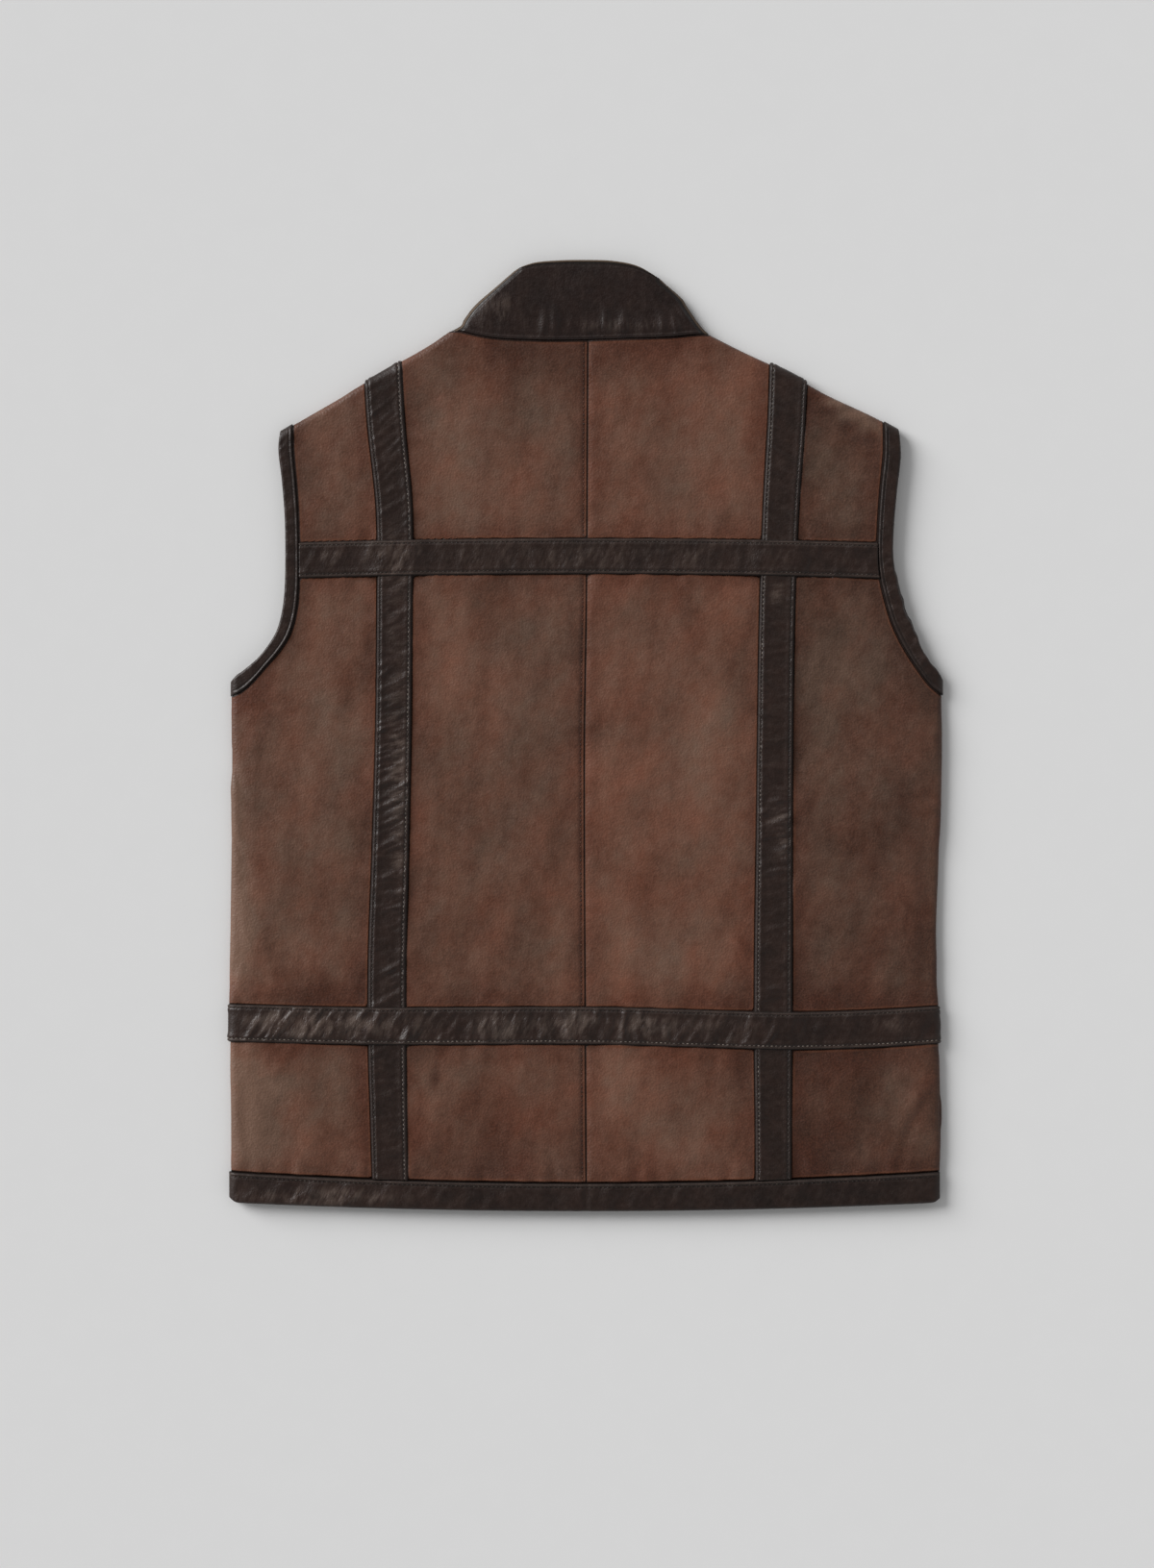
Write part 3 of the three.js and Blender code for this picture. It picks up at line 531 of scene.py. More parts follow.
def nearest_fold(at, form):
    """Distance from plan points to the nearest fold, and the plan direction out over that fold."""
    best = np.full(at.shape[:-1], np.inf)
    outward = np.zeros(at.shape)
    for run in form["folds"]:
        for start, end in zip(run, run[1:]):
            distance = stretch_gap(at, start, end)
            along = end - start
            out = np.array([along[1], -along[0]]) / np.linalg.norm(along)
            if out @ ((start + end) / 2 - form["middle"]) < 0:
                out = -out
            closer = distance < best
            best[closer] = distance[closer]
            outward[closer] = out
    return best, outward


def crown(at, bridges):
    """Height of the back's outer face where it has turned flat."""
    x, y = at[..., 0], at[..., 1]
    swells = (rise * bell(x - px, wide) * bell(y - py, tall) for px, py, wide, tall, rise in SWELLS)
    z = BACK_HEIGHT + sum(swells)
    if bridges:
        return z
    return z - CENTRE_SEAM_DIP * bell(x - centre_x(y), CENTRE_SEAM_REACH)


def lay(at, depth, layer, form=BODY, bridges=False, shift=0, seam_along=None):
    """Places in space of cloth over plan points, and its normals. Depth is how proud of the back it is."""
    distance, outward = nearest_fold(at, form)
    turn = 1 - np.minimum(distance / FOLD_REACH, 1)
    up = np.sqrt(1 - turn**2)
    gap = SEAM / 2 if form is BODY else 0
    sideways = outward * (turn / FOLD_REACH)[..., None]
    if layer == "front":
        rise = FOLD_HEIGHT - gap
        z = rise * (1 - up)
        normal = np.concatenate([sideways, (-up / rise)[..., None]], -1)
    else:
        seam = FOLD_HEIGHT + gap
        fall = SIDE_FALL * (1 - smooth(0, SIDE_FALL_REACH, distance)) if form is BODY else 0
        fall = fall * (1 - smooth(*SIDE_FALL_FADE, at[..., 1]))
        lift = crown(at, bridges) - fall - seam
        z = seam + lift * up
        half = 0.5
        slope_x = crown(at + (half, 0), bridges) - crown(at - (half, 0), bridges)
        slope_y = crown(at + (0, half), bridges) - crown(at - (0, half), bridges)
        rising = np.stack([-slope_x, -slope_y, np.ones_like(slope_x)], -1) * (up / lift)[..., None]
        normal = np.concatenate([sideways, np.zeros(sideways.shape[:-1] + (1,))], -1) + rising
    if seam_along is not None:
        kept = (normal[..., :2] * seam_along).sum(-1, keepdims=True)
        on_seam = np.abs(seam_along).sum(-1, keepdims=True) > 0
        normal[..., :2] = np.where(on_seam, seam_along * kept, normal[..., :2])
    normal /= np.linalg.norm(normal, axis=-1, keepdims=True)
    place = np.concatenate([at, z[..., None]], -1)
    return place + normal * (depth + shift * turn**2)[..., None], normal


def rumple(x, y, seed):
    """Soft seeded noise over a plan, from -1 to 1, about one swell to a unit."""
    size = 64
    lattice = np.random.default_rng(seed).uniform(-1, 1, (size, size))
    cell_x, cell_y = np.floor(x).astype(int), np.floor(y).astype(int)
    share_x, share_y = smooth(0, 1, x - cell_x), smooth(0, 1, y - cell_y)

    def corner(i, j):
        return lattice[(cell_x + i) % size, (cell_y + j) % size]

    low = corner(0, 0) * (1 - share_x) + corner(1, 0) * share_x
    high = corner(0, 1) * (1 - share_x) + corner(1, 1) * share_x
    return low * (1 - share_y) + high * share_y


def shares(length, step, start=(0,), end=(0,)):
    """Shares from 0 to 1 over a length: stops in millimetres from each end, and even steps between."""
    first, last = np.array(start) / length, 1 - np.array(end)[::-1] / length
    between = np.linspace(first[-1], last[0], max(round((last[0] - first[-1]) * length / step), 1) + 1)
    return np.concatenate([first, between[1:-1], last])


def joined(meet, first, second):
    """Two runs of shares as one, the first up to where they meet."""
    return np.concatenate([first * meet, meet + second[1:] * (1 - meet)])


def patch(bottom, top, left, right, u, v):
    """Plan points between four edges. Its corners are the bottom's and the top's."""
    u, v = u[None, :, None], v[:, None, None]
    below, above = bottom(u[..., 0]), top(u[..., 0])
    rail_left, rail_right = left(v[..., 0]), right(v[..., 0])

    def bow(rail):
        ends = rail[:1], rail[-1:]
        return rail - (ends[0] * (1 - v) + ends[1] * v)

    return below * (1 - v) + above * v + bow(rail_left) * (1 - u) + bow(rail_right) * u


# Distances from the seams, which relief and finish both follow

def vertical_gap(at):
    """Distance from plan points to the nearest vertical strip, 0 under one."""
    x, y = at[..., 0], at[..., 1]
    gaps = [np.abs(x - strip_x[side](y)) - strip_width(y) / 2 for side in SIGN]
    return np.maximum(np.min(gaps, axis=0), 0)


def cross_gap(at):
    """Distance from plan points to the nearest cross strip, 0 under one."""
    x, y = at[..., 0], at[..., 1]
    gaps = [np.abs(y - waist_y(x)) - WAIST_WIDTH / 2, np.abs(y - chest_y(x)) - CHEST_WIDTH / 2]
    return np.maximum(np.min(gaps, axis=0), 0)


def centre_gap(at):
    return np.abs(at[..., 0] - centre_x(at[..., 1]))


def hem_gap(at):
    return np.abs(at[..., 1] - hem_seam_y(at[..., 0]))


def curve_gap(at, curve):
    run = curve.run[::GAP_RUN]
    return np.min([stretch_gap(at, start, end) for start, end in zip(run, run[1:])], axis=0)


# Relief of the cloth

def ridged(relief, distance, rows):
    """Relief with ridges and grooves along a seam added: how far from it, width, rise."""
    for middle, width, rise in rows:
        relief = relief + rise * bell(distance - middle, width)
    return relief


def crease_rise(at):
    x, y = at[..., 0], at[..., 1]
    total = np.zeros(x.shape)
    for x0, y0, x1, y1, width, rise in CREASES:
        length = math.hypot(x1 - x0, y1 - y0)
        along = ((x - x0) * (x1 - x0) + (y - y0) * (y1 - y0)) / length
        across = ((x - x0) * (y1 - y0) - (y - y0) * (x1 - x0)) / length
        bend = across - CREASE_BOW * length * np.sin(math.pi * np.clip(along / length, 0, 1))
        fade = smooth(0, CREASE_FADE, along / length) * smooth(0, CREASE_FADE, 1 - along / length)
        total += rise * bell(bend, width) * fade
    return total


# Unevenness all over a panel: height, length across and up, seed of the draw
PANEL_SWELLS = [(0.7, 34, 60, 3), (0.35, 15, 24, 4), (0.1, 6, 8, 5)]

# Ripples that fade away from a seam: the same, and how far they reach
VERTICAL_RIPPLES = (0.5, 30, 9, 6, 9)
CROSS_RIPPLES = (0.6, 9, 30, 7, 10)
CENTRE_RIPPLES = (0.5, 20, 7, 8, 8)
CENTRE_RIPPLE_SLANT = 30
HEM_RIPPLES = (1.3, 8, 30, 9, 14)

# Fine crackle beside the side seams, below the armholes: where it is, and how far up and down it reaches
CRACKLE = (0.35, 5, 4.5, 12, 28)
CRACKLE_X = 245
CRACKLE_Y = -225
CRACKLE_REACH = 70


def ripples(at, gap, row, slant=0):
    height, across, up, seed, reach = row
    return height * rumple(at[..., 0] / across + slant, at[..., 1] / up, seed) * bell(gap, reach)


def panel_relief(at):
    x, y = at[..., 0], at[..., 1]
    relief = sum(height * rumple(x / across, y / up, seed) for height, across, up, seed in PANEL_SWELLS)
    relief += ripples(at, vertical_gap(at), VERTICAL_RIPPLES)
    relief += ripples(at, cross_gap(at), CROSS_RIPPLES)
    relief += ripples(at, centre_gap(at), CENTRE_RIPPLES, slant=y / CENTRE_RIPPLE_SLANT)
    relief += ripples(at, hem_gap(at), HEM_RIPPLES)
    relief += ripples(at, np.abs(x) - CRACKLE_X, CRACKLE) * bell(y - CRACKLE_Y, CRACKLE_REACH)
    return relief + crease_rise(at)


# Puckers: how far from the middle they lie, how much their slant, bend, width and length are drawn
PUCKERS_A_PITCH = 4
PUCKER_SPREAD = 11
PUCKER_SLANT = 0.3
PUCKER_BEND = 0.02
PUCKER_WIDTH = (0.36, 0.1)
PUCKER_LENGTH = (8, 3)


def pucker_rise(along, across, zones, seed):
    """Wrinkles along puckered stretches of a strip: short soft ridges, set down by a seeded draw."""
    draw = np.random.default_rng(seed)
    total = np.zeros(np.broadcast_shapes(along.shape, across.shape))
    for start, end, height, pitch, lean in zones:
        for middle in np.arange(start, end, pitch / PUCKERS_A_PITCH):
            shift, level, reach, width, rise, turn = draw.uniform(-1, 1, 6)
            off = across - PUCKER_SPREAD * level
            slanted = along - middle - 0.5 * pitch * shift
            slanted = slanted - (lean + PUCKER_SLANT * turn) * off - PUCKER_BEND * turn * off**2
            ridge = bell(slanted, pitch * (PUCKER_WIDTH[0] + PUCKER_WIDTH[1] * width))
            ridge = ridge * bell(off, PUCKER_LENGTH[0] + PUCKER_LENGTH[1] * reach)
            total += height * (0.5 + 0.5 * rise) * ridge
    return total


# A strip's section: its rounded edge, the ridge of what is turned in, and the groove of its stitching
STRIP_ROUND = 1.4
STRIP_FOOT = 0.05
TURNED_IN = 0.45
TURNED_IN_FROM = (0.3, 1.6)
TURNED_IN_TO = (4.2, 7.5)
STRIP_GROOVE = (STITCH_FROM_EDGE, 0.6, -0.6)


def strip_section(from_edge):
    """Height of a strip over the cloth, by the distance from its nearer edge."""
    edge = 1 - np.minimum(from_edge / STRIP_ROUND, 1)
    turned_in = TURNED_IN * smooth(*TURNED_IN_FROM, from_edge) * (1 - smooth(*TURNED_IN_TO, from_edge))
    section = STRIP * np.sqrt(1 - edge**2) + turned_in
    return ridged(section, from_edge, [STRIP_GROOVE]) + STRIP_FOOT


# Colour of the cloth

def tone_at(at, table):
    """How much lighter and redder the cloth is at plan points."""
    x, y = at[..., 0], at[..., 1]
    light = sum(more * bell(x - px, rx) * bell(y - py, ry) for px, py, rx, ry, more, _ in table)
    red = sum(more * bell(x - px, rx) * bell(y - py, ry) for px, py, rx, ry, _, more in table)
    return light, red


# Making a mesh

SEAM_REACH = 40  # distances from a seam are kept up to this far


def linked(name, data):
    """A new object in the scene."""
    made = bpy.data.objects.new(name, data)
    bpy.context.scene.collection.objects.link(made)
    return made


def sewn(name, places, normals, tones, seam_distance, shell, thinness=None):
    """A piece of cloth on a grid of places, with a wall behind its outer face."""
    rows, columns = places.shape[:2]
    facing = np.cross(places[:-1, 1:] - places[:-1, :-1], places[1:, :-1] - places[:-1, :-1])
    if (facing * normals[:-1, :-1]).sum() < 0:
        places, seam_distance = places[:, ::-1], seam_distance[:, ::-1]
        tones = tuple(part[:, ::-1] for part in tones)
        thinness = None if thinness is None else thinness[:, ::-1]
    bm = bmesh.new()
    bmesh.ops.create_grid(bm, x_segments=columns - 1, y_segments=rows - 1, size=1)
    mesh = bpy.data.meshes.new(name)
    bm.to_mesh(mesh)
    bm.free()
    flat = np.empty(rows * columns * 3)
    mesh.vertices.foreach_get("co", flat)
    flat = flat.reshape(-1, 3)
    column = np.rint((flat[:, 0] + 1) / 2 * (columns - 1)).astype(int)
    row = np.rint((flat[:, 1] + 1) / 2 * (rows - 1)).astype(int)
    mesh.vertices.foreach_set("co", (places[row, column] * MM).ravel())
    light, red, seam = (part[row, column] for part in (*tones, seam_distance / SEAM_REACH))
    finish = mesh.attributes.new("finish", "FLOAT_COLOR", "POINT")
    channels = np.stack([0.5 + light / 2, 0.5 + red / 2, np.minimum(seam, 1), np.ones_like(seam)], -1)
    finish.data.foreach_set("color", np.clip(channels, 0, 1).astype(np.float32).ravel())
    mesh.polygons.foreach_set("use_smooth", np.ones(len(mesh.polygons), bool))
    mesh.update()
    piece = linked(name, mesh)
    wall = piece.modifiers.new("wall", "SOLIDIFY")
    wall.thickness = shell * MM
    wall.offset = -1
    if thinness is not None:
        group = piece.vertex_groups.new(name="thinness")
        for i in range(columns):
            group.add(np.flatnonzero(column == i).tolist(), float(thinness[0, i]), "REPLACE")
        wall.vertex_group = "thinness"
    return piece


def reach_along(line):
    """Distance along a line of each of its points."""
    return np.append(0, np.cumsum(np.linalg.norm(np.diff(line, axis=0), axis=1)))


def stitched(name, line, material):
    """A row of stitches lying on cloth along a line of places."""
    bm = bmesh.new()
    bmesh.ops.create_uvsphere(bm, u_segments=6, v_segments=4, radius=1)
    one = bpy.data.meshes.new("stitch")
    bm.to_mesh(one)
    bm.clear()
    round_shape = np.array([vertex.co for vertex in one.vertices])
    reach = reach_along(line)
    starts = np.arange(int(reach[-1] / STITCH_PITCH)) * STITCH_PITCH
    lows, highs = (
        np.stack([np.interp(starts + offset * STITCH_PITCH, reach, values) for values in line.T], -1)
        for offset in STITCH_SPAN
    )
    for low, high in zip(lows, highs):
        along = Vector(high - low)
        turn = np.array(along.to_track_quat("X", "Z").to_matrix())
        size = (along.length / 2, *STITCH_HALF)
        one.vertices.foreach_set("co", (((round_shape * size) @ turn.T + (low + high) / 2) * MM).ravel())
        bm.from_mesh(one)
    bpy.data.meshes.remove(one)
    mesh = bpy.data.meshes.new(name)
    bm.to_mesh(mesh)
    bm.free()
    mesh.polygons.foreach_set("use_smooth", np.ones(len(mesh.polygons), bool))
    piece = linked(name, mesh)
    mesh.materials.append(material)
    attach(piece, "root")
    return piece


def line_between(places, column):
    """A line down a grid of places, between two of its columns."""
    low = int(column)
    high = min(low + 1, places.shape[1] - 1)
    return places[:, low] * (1 - column + low) + places[:, high] * (column - low)


# Materials

def tone(red, green, blue):
    """A colour as seen on a screen, made linear."""
    linear = [c / 255 / 12.92 if c <= 10 else ((c / 255 + 0.055) / 1.055) ** 2.4 for c in (red, green, blue)]
    return (*linear, 1)


# Colours. A pair is what a finish runs between: plain and reddened, or sunk and worn for thread
BROWN_TONES = tone(91, 69, 57), tone(107, 65, 49)
BROWN_BURNISHED = tone(104, 62, 42)
# painted shade in the ditch along the seams of the brown leather
BROWN_DITCH_SHADE = tone(30, 21, 18)
DARK_TONES = tone(34, 24, 20), tone(41, 25, 19)
COLLAR_TONES = tone(28, 18, 15), tone(35, 20, 15)
COLLAR_EDGE = tone(84, 68, 52)
# painted sheen on the dark leather's wrinkles and on the ridges by its edges
DARK_SHEEN = tone(132, 116, 106)
# painted shade at the rims of the dark leather and in the groove inside the collar's edge
DARK_SHADE = tone(22, 15, 12)
THREAD_DARK = tone(34, 26, 23), tone(62, 54, 48)
THREAD_WORN = tone(62, 54, 49), tone(120, 110, 102)
THREAD_BROWN = tone(42, 26, 19), tone(90, 56, 38)
FLOOR_TONES = tone(226, 226, 226), tone(228, 228, 228)

# Bump of the grain: depth in metres, strength
GRAIN_BUMP = (0.0005, 0.7)
THREAD_BUMP = (0.0001, 0.4)


class Value:
    """A number that varies over a surface, from a node's socket."""

    def __init__(self, finish, socket):
        self.finish = finish
        self.socket = socket

    def combined(self, operation, first, second):
        return self.finish.node("ShaderNodeMath", {"operation": operation}, {0: first, 1: second})

    def __add__(self, other):
        return self.combined("ADD", self, other)

    def __radd__(self, other):
        return self.combined("ADD", other, self)

    def __sub__(self, other):
        return self.combined("SUBTRACT", self, other)

    def __rsub__(self, other):
        return self.combined("SUBTRACT", other, self)

    def __mul__(self, other):
        return self.combined("MULTIPLY", self, other)


class Finish:
    """A material under construction."""

    def __init__(self, name):
        self.material = bpy.data.materials.new(name)
        self.material.use_nodes = True
        self.tree = self.material.node_tree
        self.surface = self.tree.nodes["Principled BSDF"]

    def node(self, kind, settings, inputs, output=0):
        made = self.tree.nodes.new(kind)
        for name, setting in settings.items():
            setattr(made, name, setting)
        for name, value in inputs.items():
            if isinstance(value, Value):
                self.tree.links.new(value.socket, made.inputs[name])
            else:
                made.inputs[name].default_value = value
        return Value(self, made.outputs[output])

    def place(self, scale=(1, 1, 1), turn=0):
        """Places on the object, turned, then stretched."""
        at = self.node("ShaderNodeTexCoord", {}, {}, "Object")
        turned = self.node("ShaderNodeMapping", {}, {"Vector": at, "Rotation": (0, 0, turn)})
        return self.node("ShaderNodeMapping", {}, {"Vector": turned, "Scale": scale})

    def noise(self, at, scale, detail=3, roughness=0.5):
        inputs = {"Vector": at, "Scale": scale, "Detail": detail, "Roughness": roughness}
        return self.node("ShaderNodeTexNoise", {}, inputs)

    def cells(self, at, scale):
        inputs = {"Vector": at, "Scale": scale, "Smoothness": 0.6}
        return self.node("ShaderNodeTexVoronoi", {"feature": "SMOOTH_F1"}, inputs)

    def channels(self):
        """How much lighter and redder the cloth is, and how far it is from its seam."""
        shades = self.node("ShaderNodeAttribute", {"attribute_name": "finish"}, {}, "Color")
        light, red, gap = (self.node("ShaderNodeSeparateColor", {}, {"Color": shades}, i) for i in range(3))
        return light * 2 - 1, red * 2 - 1, gap * SEAM_REACH

    def rise(self, value, low, high):
        """A soft step from 0 to 1 as a value goes from low to high."""
        inputs = {"Value": value, "From Min": low, "From Max": high}
        return self.node("ShaderNodeMapRange", {"interpolation_type": "SMOOTHSTEP"}, inputs)

    def mix(self, share, first, second):
        inputs = {0: share, 6: first, 7: second}
        return self.node("ShaderNodeMix", {"data_type": "RGBA"}, inputs, 2)

    def lit(self, colour, amount):
        return self.node("ShaderNodeVectorMath", {"operation": "SCALE"}, {0: colour, "Scale": amount})

    def bump(self, height, distance, strength):
        return self.node("ShaderNodeBump", {}, {"Height": height, "Distance": distance, "Strength": strength})

    def surfaced(self, **inputs):
        for name, value in inputs.items():
            socket = self.surface.inputs[name.replace("_", " ").title().replace("Ior", "IOR")]
            if isinstance(value, Value):
                self.tree.links.new(value.socket, socket)
            else:
                socket.default_value = value
        return self.material


def brown_leather():
    """Antiqued leather, mottled and streaked, darker and redder at its seams, with a burnished line beside
    them and painted shade in the ditch along them.
    """
    f = Finish("brown_leather")
    light, red, gap = f.channels()
    clouds = f.noise(f.place(), scale=15, detail=3, roughness=0.55)
    streaks = f.noise(f.place((3, 1, 1), 0.15), scale=22, detail=3, roughness=0.55)
    mottle = f.noise(f.place(), scale=120, detail=4, roughness=0.65)
    hue = f.noise(f.place((1.4, 1, 1), 0.5), scale=22, detail=4, roughness=0.6)
    speck = f.noise(f.place(), scale=700, detail=2, roughness=0.5)
    near_seam = (1 - f.rise(gap, 2, 22)) * (clouds + 0.5)
    lightness = light + (clouds - 0.5) * 0.9 + (streaks - 0.5) * 0.7 + (mottle - 0.5) * 0.4 - near_seam * 0.2
    redness = red * 0.5 + (hue - 0.5) * 1.7 + 0.38 - lightness * 0.7 + near_seam * 0.1
    amount = f.rise(lightness, -0.8, 0.8) * 1.2 + (speck - 0.5) * 0.6 + 0.38
    dyed = f.lit(f.mix(redness, *BROWN_TONES), amount)
    burnish = f.rise(gap, 0.4, 1.1) * (1 - f.rise(gap, 1.4, 3))
    dyed = f.mix(burnish * (clouds * 1.6 - 0.4), dyed, BROWN_BURNISHED)
    # Painted shade in the ditch where the panel meets a strip, seam or binding; the same mask sinks the bump
    ditch_shade = 1 - f.rise(gap, 0.2, 1)
    dyed = f.mix(ditch_shade * 0.9, dyed, BROWN_DITCH_SHADE)
    grain = f.cells(f.place(), 620) * 0.6 + f.noise(f.place(), scale=330, detail=3, roughness=0.6) * 0.8
    height = grain + mottle * 0.5 - ditch_shade * 2.5
    return f.surfaced(
        base_color=dyed,
        roughness=0.44 + (mottle - 0.5) * 0.35 + (clouds - 0.5) * 0.2,
        specular_ior_level=0.27,
        normal=f.bump(height, *GRAIN_BUMP),
    )


def dark_finish(name, grey, warm, stretch=(1, 1, 1), turn=0, rolled_edge=None, ridged=0.0):
    """Dark glossy leather, finely wrinkled over its width, with painted sheen on its wrinkles and painted
    shade at its rim. A rolled edge has its own colour with painted shade in the groove inside it; a ridged
    one has a painted highlight along the ridge by its edge.
    """
    f = Finish(name)
    light, red, gap = f.channels()
    clouds = f.noise(f.place(), scale=60, detail=4, roughness=0.6)
    mottle = f.noise(f.place(), scale=260, detail=4, roughness=0.6)
    wrinkles = f.noise(f.place(stretch, turn), scale=230, detail=3, roughness=0.6)
    # The lighter-by channel of the patches is painted sheen: it lightens the leather, sets how much sheen is
    # painted on its wrinkles, and deepens them
    worn = f.rise(light, 0.05, 0.5)
    lightness = light * 0.5 + (clouds - 0.5) * 0.9 + (mottle - 0.5) * 0.6
    dyed = f.lit(f.mix(red + (clouds - 0.5) * 0.8 + 0.5, grey, warm), lightness + 1)
    # Painted sheen: paler on the wrinkles, most where the patches give sheen
    painted_sheen = f.rise(wrinkles + worn * 0.1 + (clouds - 0.5) * 0.4, 0.45, 0.85)
    dyed = f.mix(painted_sheen * (worn * 0.28 + 0.04), dyed, DARK_SHEEN)
    # A painted highlight along the ridge beside the edge or seam
    if ridged:
        ridge = f.rise(gap, 0.5, 1.2) * (1 - f.rise(gap, 1.5, 2.4))
        dyed = f.mix(ridge * (clouds * 2 - 0.4) * ridged, dyed, DARK_SHEEN)
    grain = f.cells(f.place(), 700) * 0.4 + f.noise(f.place(), scale=420, detail=3, roughness=0.6) * 0.5
    grain = grain + wrinkles * (worn * 3 + 0.5)
    if rolled_edge is None:
        # Painted shade at the rim, where a strip's rounded edge turns down or a binding meets its seam; the
        # rim is rougher too
        rim = 1 - f.rise(gap, 0.2, 1.5)
        dyed = f.mix(rim * 0.7, dyed, DARK_SHADE)
    else:
        rim = 1 - f.rise(gap, 2, 3.5)
        rolled = (1 - f.rise(gap, 2.4, 3.2)) * (f.rise(gap, 0.9, 1.5) * 0.6 + 0.3)
        dyed = f.mix(rolled, dyed, rolled_edge)
        # Painted shade in the groove inside the rolled edge; the same mask sinks the bump
        ditch_shade = f.rise(gap, 2.6, 3.4) * (1 - f.rise(gap, 4.4, 5.4))
        dyed = f.mix(ditch_shade * 0.8, dyed, DARK_SHADE)
        grain = grain - ditch_shade * 2
    return f.surfaced(
        base_color=dyed,
        roughness=0.42 + (mottle - 0.5) * 0.3 + rim * 0.3,
        specular_ior_level=0.36,
        normal=f.bump(grain, *GRAIN_BUMP),
    )


def thread(name, sunk, worn):
    """Waxed thread, lighter where it is worn."""
    f = Finish(name)
    wear = f.noise(f.place(), scale=90, detail=2, roughness=0.5)
    return f.surfaced(
        base_color=f.mix(f.rise(wear, 0.35, 0.65), sunk, worn),
        roughness=0.42 + (wear - 0.5) * 0.2,
        specular_ior_level=0.3,
        normal=f.bump(f.noise(f.place(), scale=1500, detail=1, roughness=0.5), *THREAD_BUMP),
    )


def pale_surface():
    f = Finish("pale_surface")
    speck = f.noise(f.place(), scale=40, detail=2, roughness=0.5)
    return f.surfaced(
        base_color=f.mix(speck, *FLOOR_TONES),
        roughness=0.9 + (speck - 0.5) * 0.05,
        specular_ior_level=0.1,
    )


ALONG_LEVEL = {"stretch": (1, 0.3, 1), "turn": math.radians(25)}
ALONG_UPRIGHT = {"stretch": (0.35, 1, 1), "turn": math.radians(-12)}
BROWN = brown_leather()
DARK = dark_finish("dark_leather", *DARK_TONES)
DARK_LEVEL = dark_finish("dark_leather_level", *DARK_TONES, **ALONG_LEVEL, ridged=0.15)
DARK_UPRIGHT = dark_finish("dark_leather_upright", *DARK_TONES, **ALONG_UPRIGHT)
COLLAR_LEATHER = dark_finish("collar_leather", *COLLAR_TONES, stretch=(1, 0.3, 1), rolled_edge=COLLAR_EDGE)
DARK_THREAD = thread("dark_thread", *THREAD_DARK)
WORN_THREAD = thread("worn_thread", *THREAD_WORN)
BROWN_THREAD = thread("brown_thread", *THREAD_BROWN)


def dressed(piece, node, material):
    """Gives a piece its material and its body, and hides the solid that it stands for."""
    piece.data.materials.append(material)
    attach(piece, "root")
    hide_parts(node)


# Panels

# Shares of a panel's height and width where its edges turn a corner, and the lengths that its grid is cut by
UNDERARM = 0.6
NECK_CORNER = 0.36
FRONT_NECK_CORNER = 0.5
SIDE_SEAM_LENGTH = 380
SIDE_WIDTH = 130
CENTRE_WIDTH = 160
FRONT_WIDTH = 270
LAP_COLUMNS = 5
LAP_DROP = (WALL + SEAM) / 2
LAP_SLOPE = 5  # outside the lap the right front slopes over this width
LAP_FLAT = 1  # and is level from this far inside it
ENDS_SHADE_WIDENING = 0.8  # how much nearer to the hem, armholes and neck a panel's distance is counted, so the painted shade of the ditch reaches further there

SHADES = {
    "side_left": (0.0, 0.0),
    "centre_left": (0.02, 0.0),
    "centre_right": (0.06, 0.28),
    "side_right": (-0.28, -0.3),
}

join_share = {side: shoulder[side].share_at(0, strip_x[side](STRIP_TOP)) for side in SIGN}
arm_share = {side: shoulder[side].share_at(0, arm_seam[side].at(1.0)[0]) for side in SIGN}
neck_middle = neck_seam.share_at(0, centre_x(310))


def past(corner, share):
    """How far a share has gone from a corner on to the end, 0 before the corner."""
    return np.clip((share - corner) / (1 - corner), 0, 1)


def panel_rail(side):
    """The outer edge of a panel: up the side seam, then round the armhole seam to the shoulder."""
    bottom = hem_seam_y(HEM_HALF) + SEAM / 2
    underarm = arm_seam[side].at(0.0)[1] - SEAM / 2

    def rail(v):
        y = bottom + (underarm - bottom) * np.minimum(v / UNDERARM, 1)
        low = np.stack([side_x[side](y), y], -1)
        high = arm_seam[side].beside(past(UNDERARM, v), -SIGN[side] * SEAM / 2)
        return np.where((v <= UNDERARM)[..., None], low, high)

    return rail


def upright_rail(side, x_at, top):
    """A line up the vest whose x follows a curve, level with the side at the underarm."""
    bottom = hem_seam_y(x_at(np.array(HEM_SEAM))) + SEAM / 2
    underarm = arm_seam[side].at(0.0)[1]

    def rail(v):
        low = bottom + (underarm - bottom) * np.minimum(v / UNDERARM, 1)
        high = underarm + (top - underarm) * past(UNDERARM, v)
        y = np.where(v <= UNDERARM, low, high)
        return np.stack([x_at(y) + 0 * y, y], -1)

    return rail


def hem_rail(outer, inner):
    """The lower edge of a panel, between the feet of two rails."""
    start, end = (rail(np.array([0.0]))[0, 0] for rail in (outer, inner))

    def rail(u):
        x = start + (end - start) * u
        return np.stack([x, hem_seam_y(x) + SEAM / 2], -1)

    return rail


def panel_rows(side, step):
    low = shares(SIDE_SEAM_LENGTH, step)
    high = shares(arm_seam[side].length, step, end=FOLD_STOPS)
    return joined(UNDERARM, low, high)


def along_armhole(at, side, u, v):
    """Ways that the armhole seam runs, at the places of a panel that lie on it."""
    along = np.zeros(at.shape)
    on = (u[None, :] == 0) & (v[:, None] >= UNDERARM)
    tangent = np.broadcast_to(arm_seam[side].along(past(UNDERARM, v))[:, None], at.shape)
    along[on] = tangent[on]
    return along


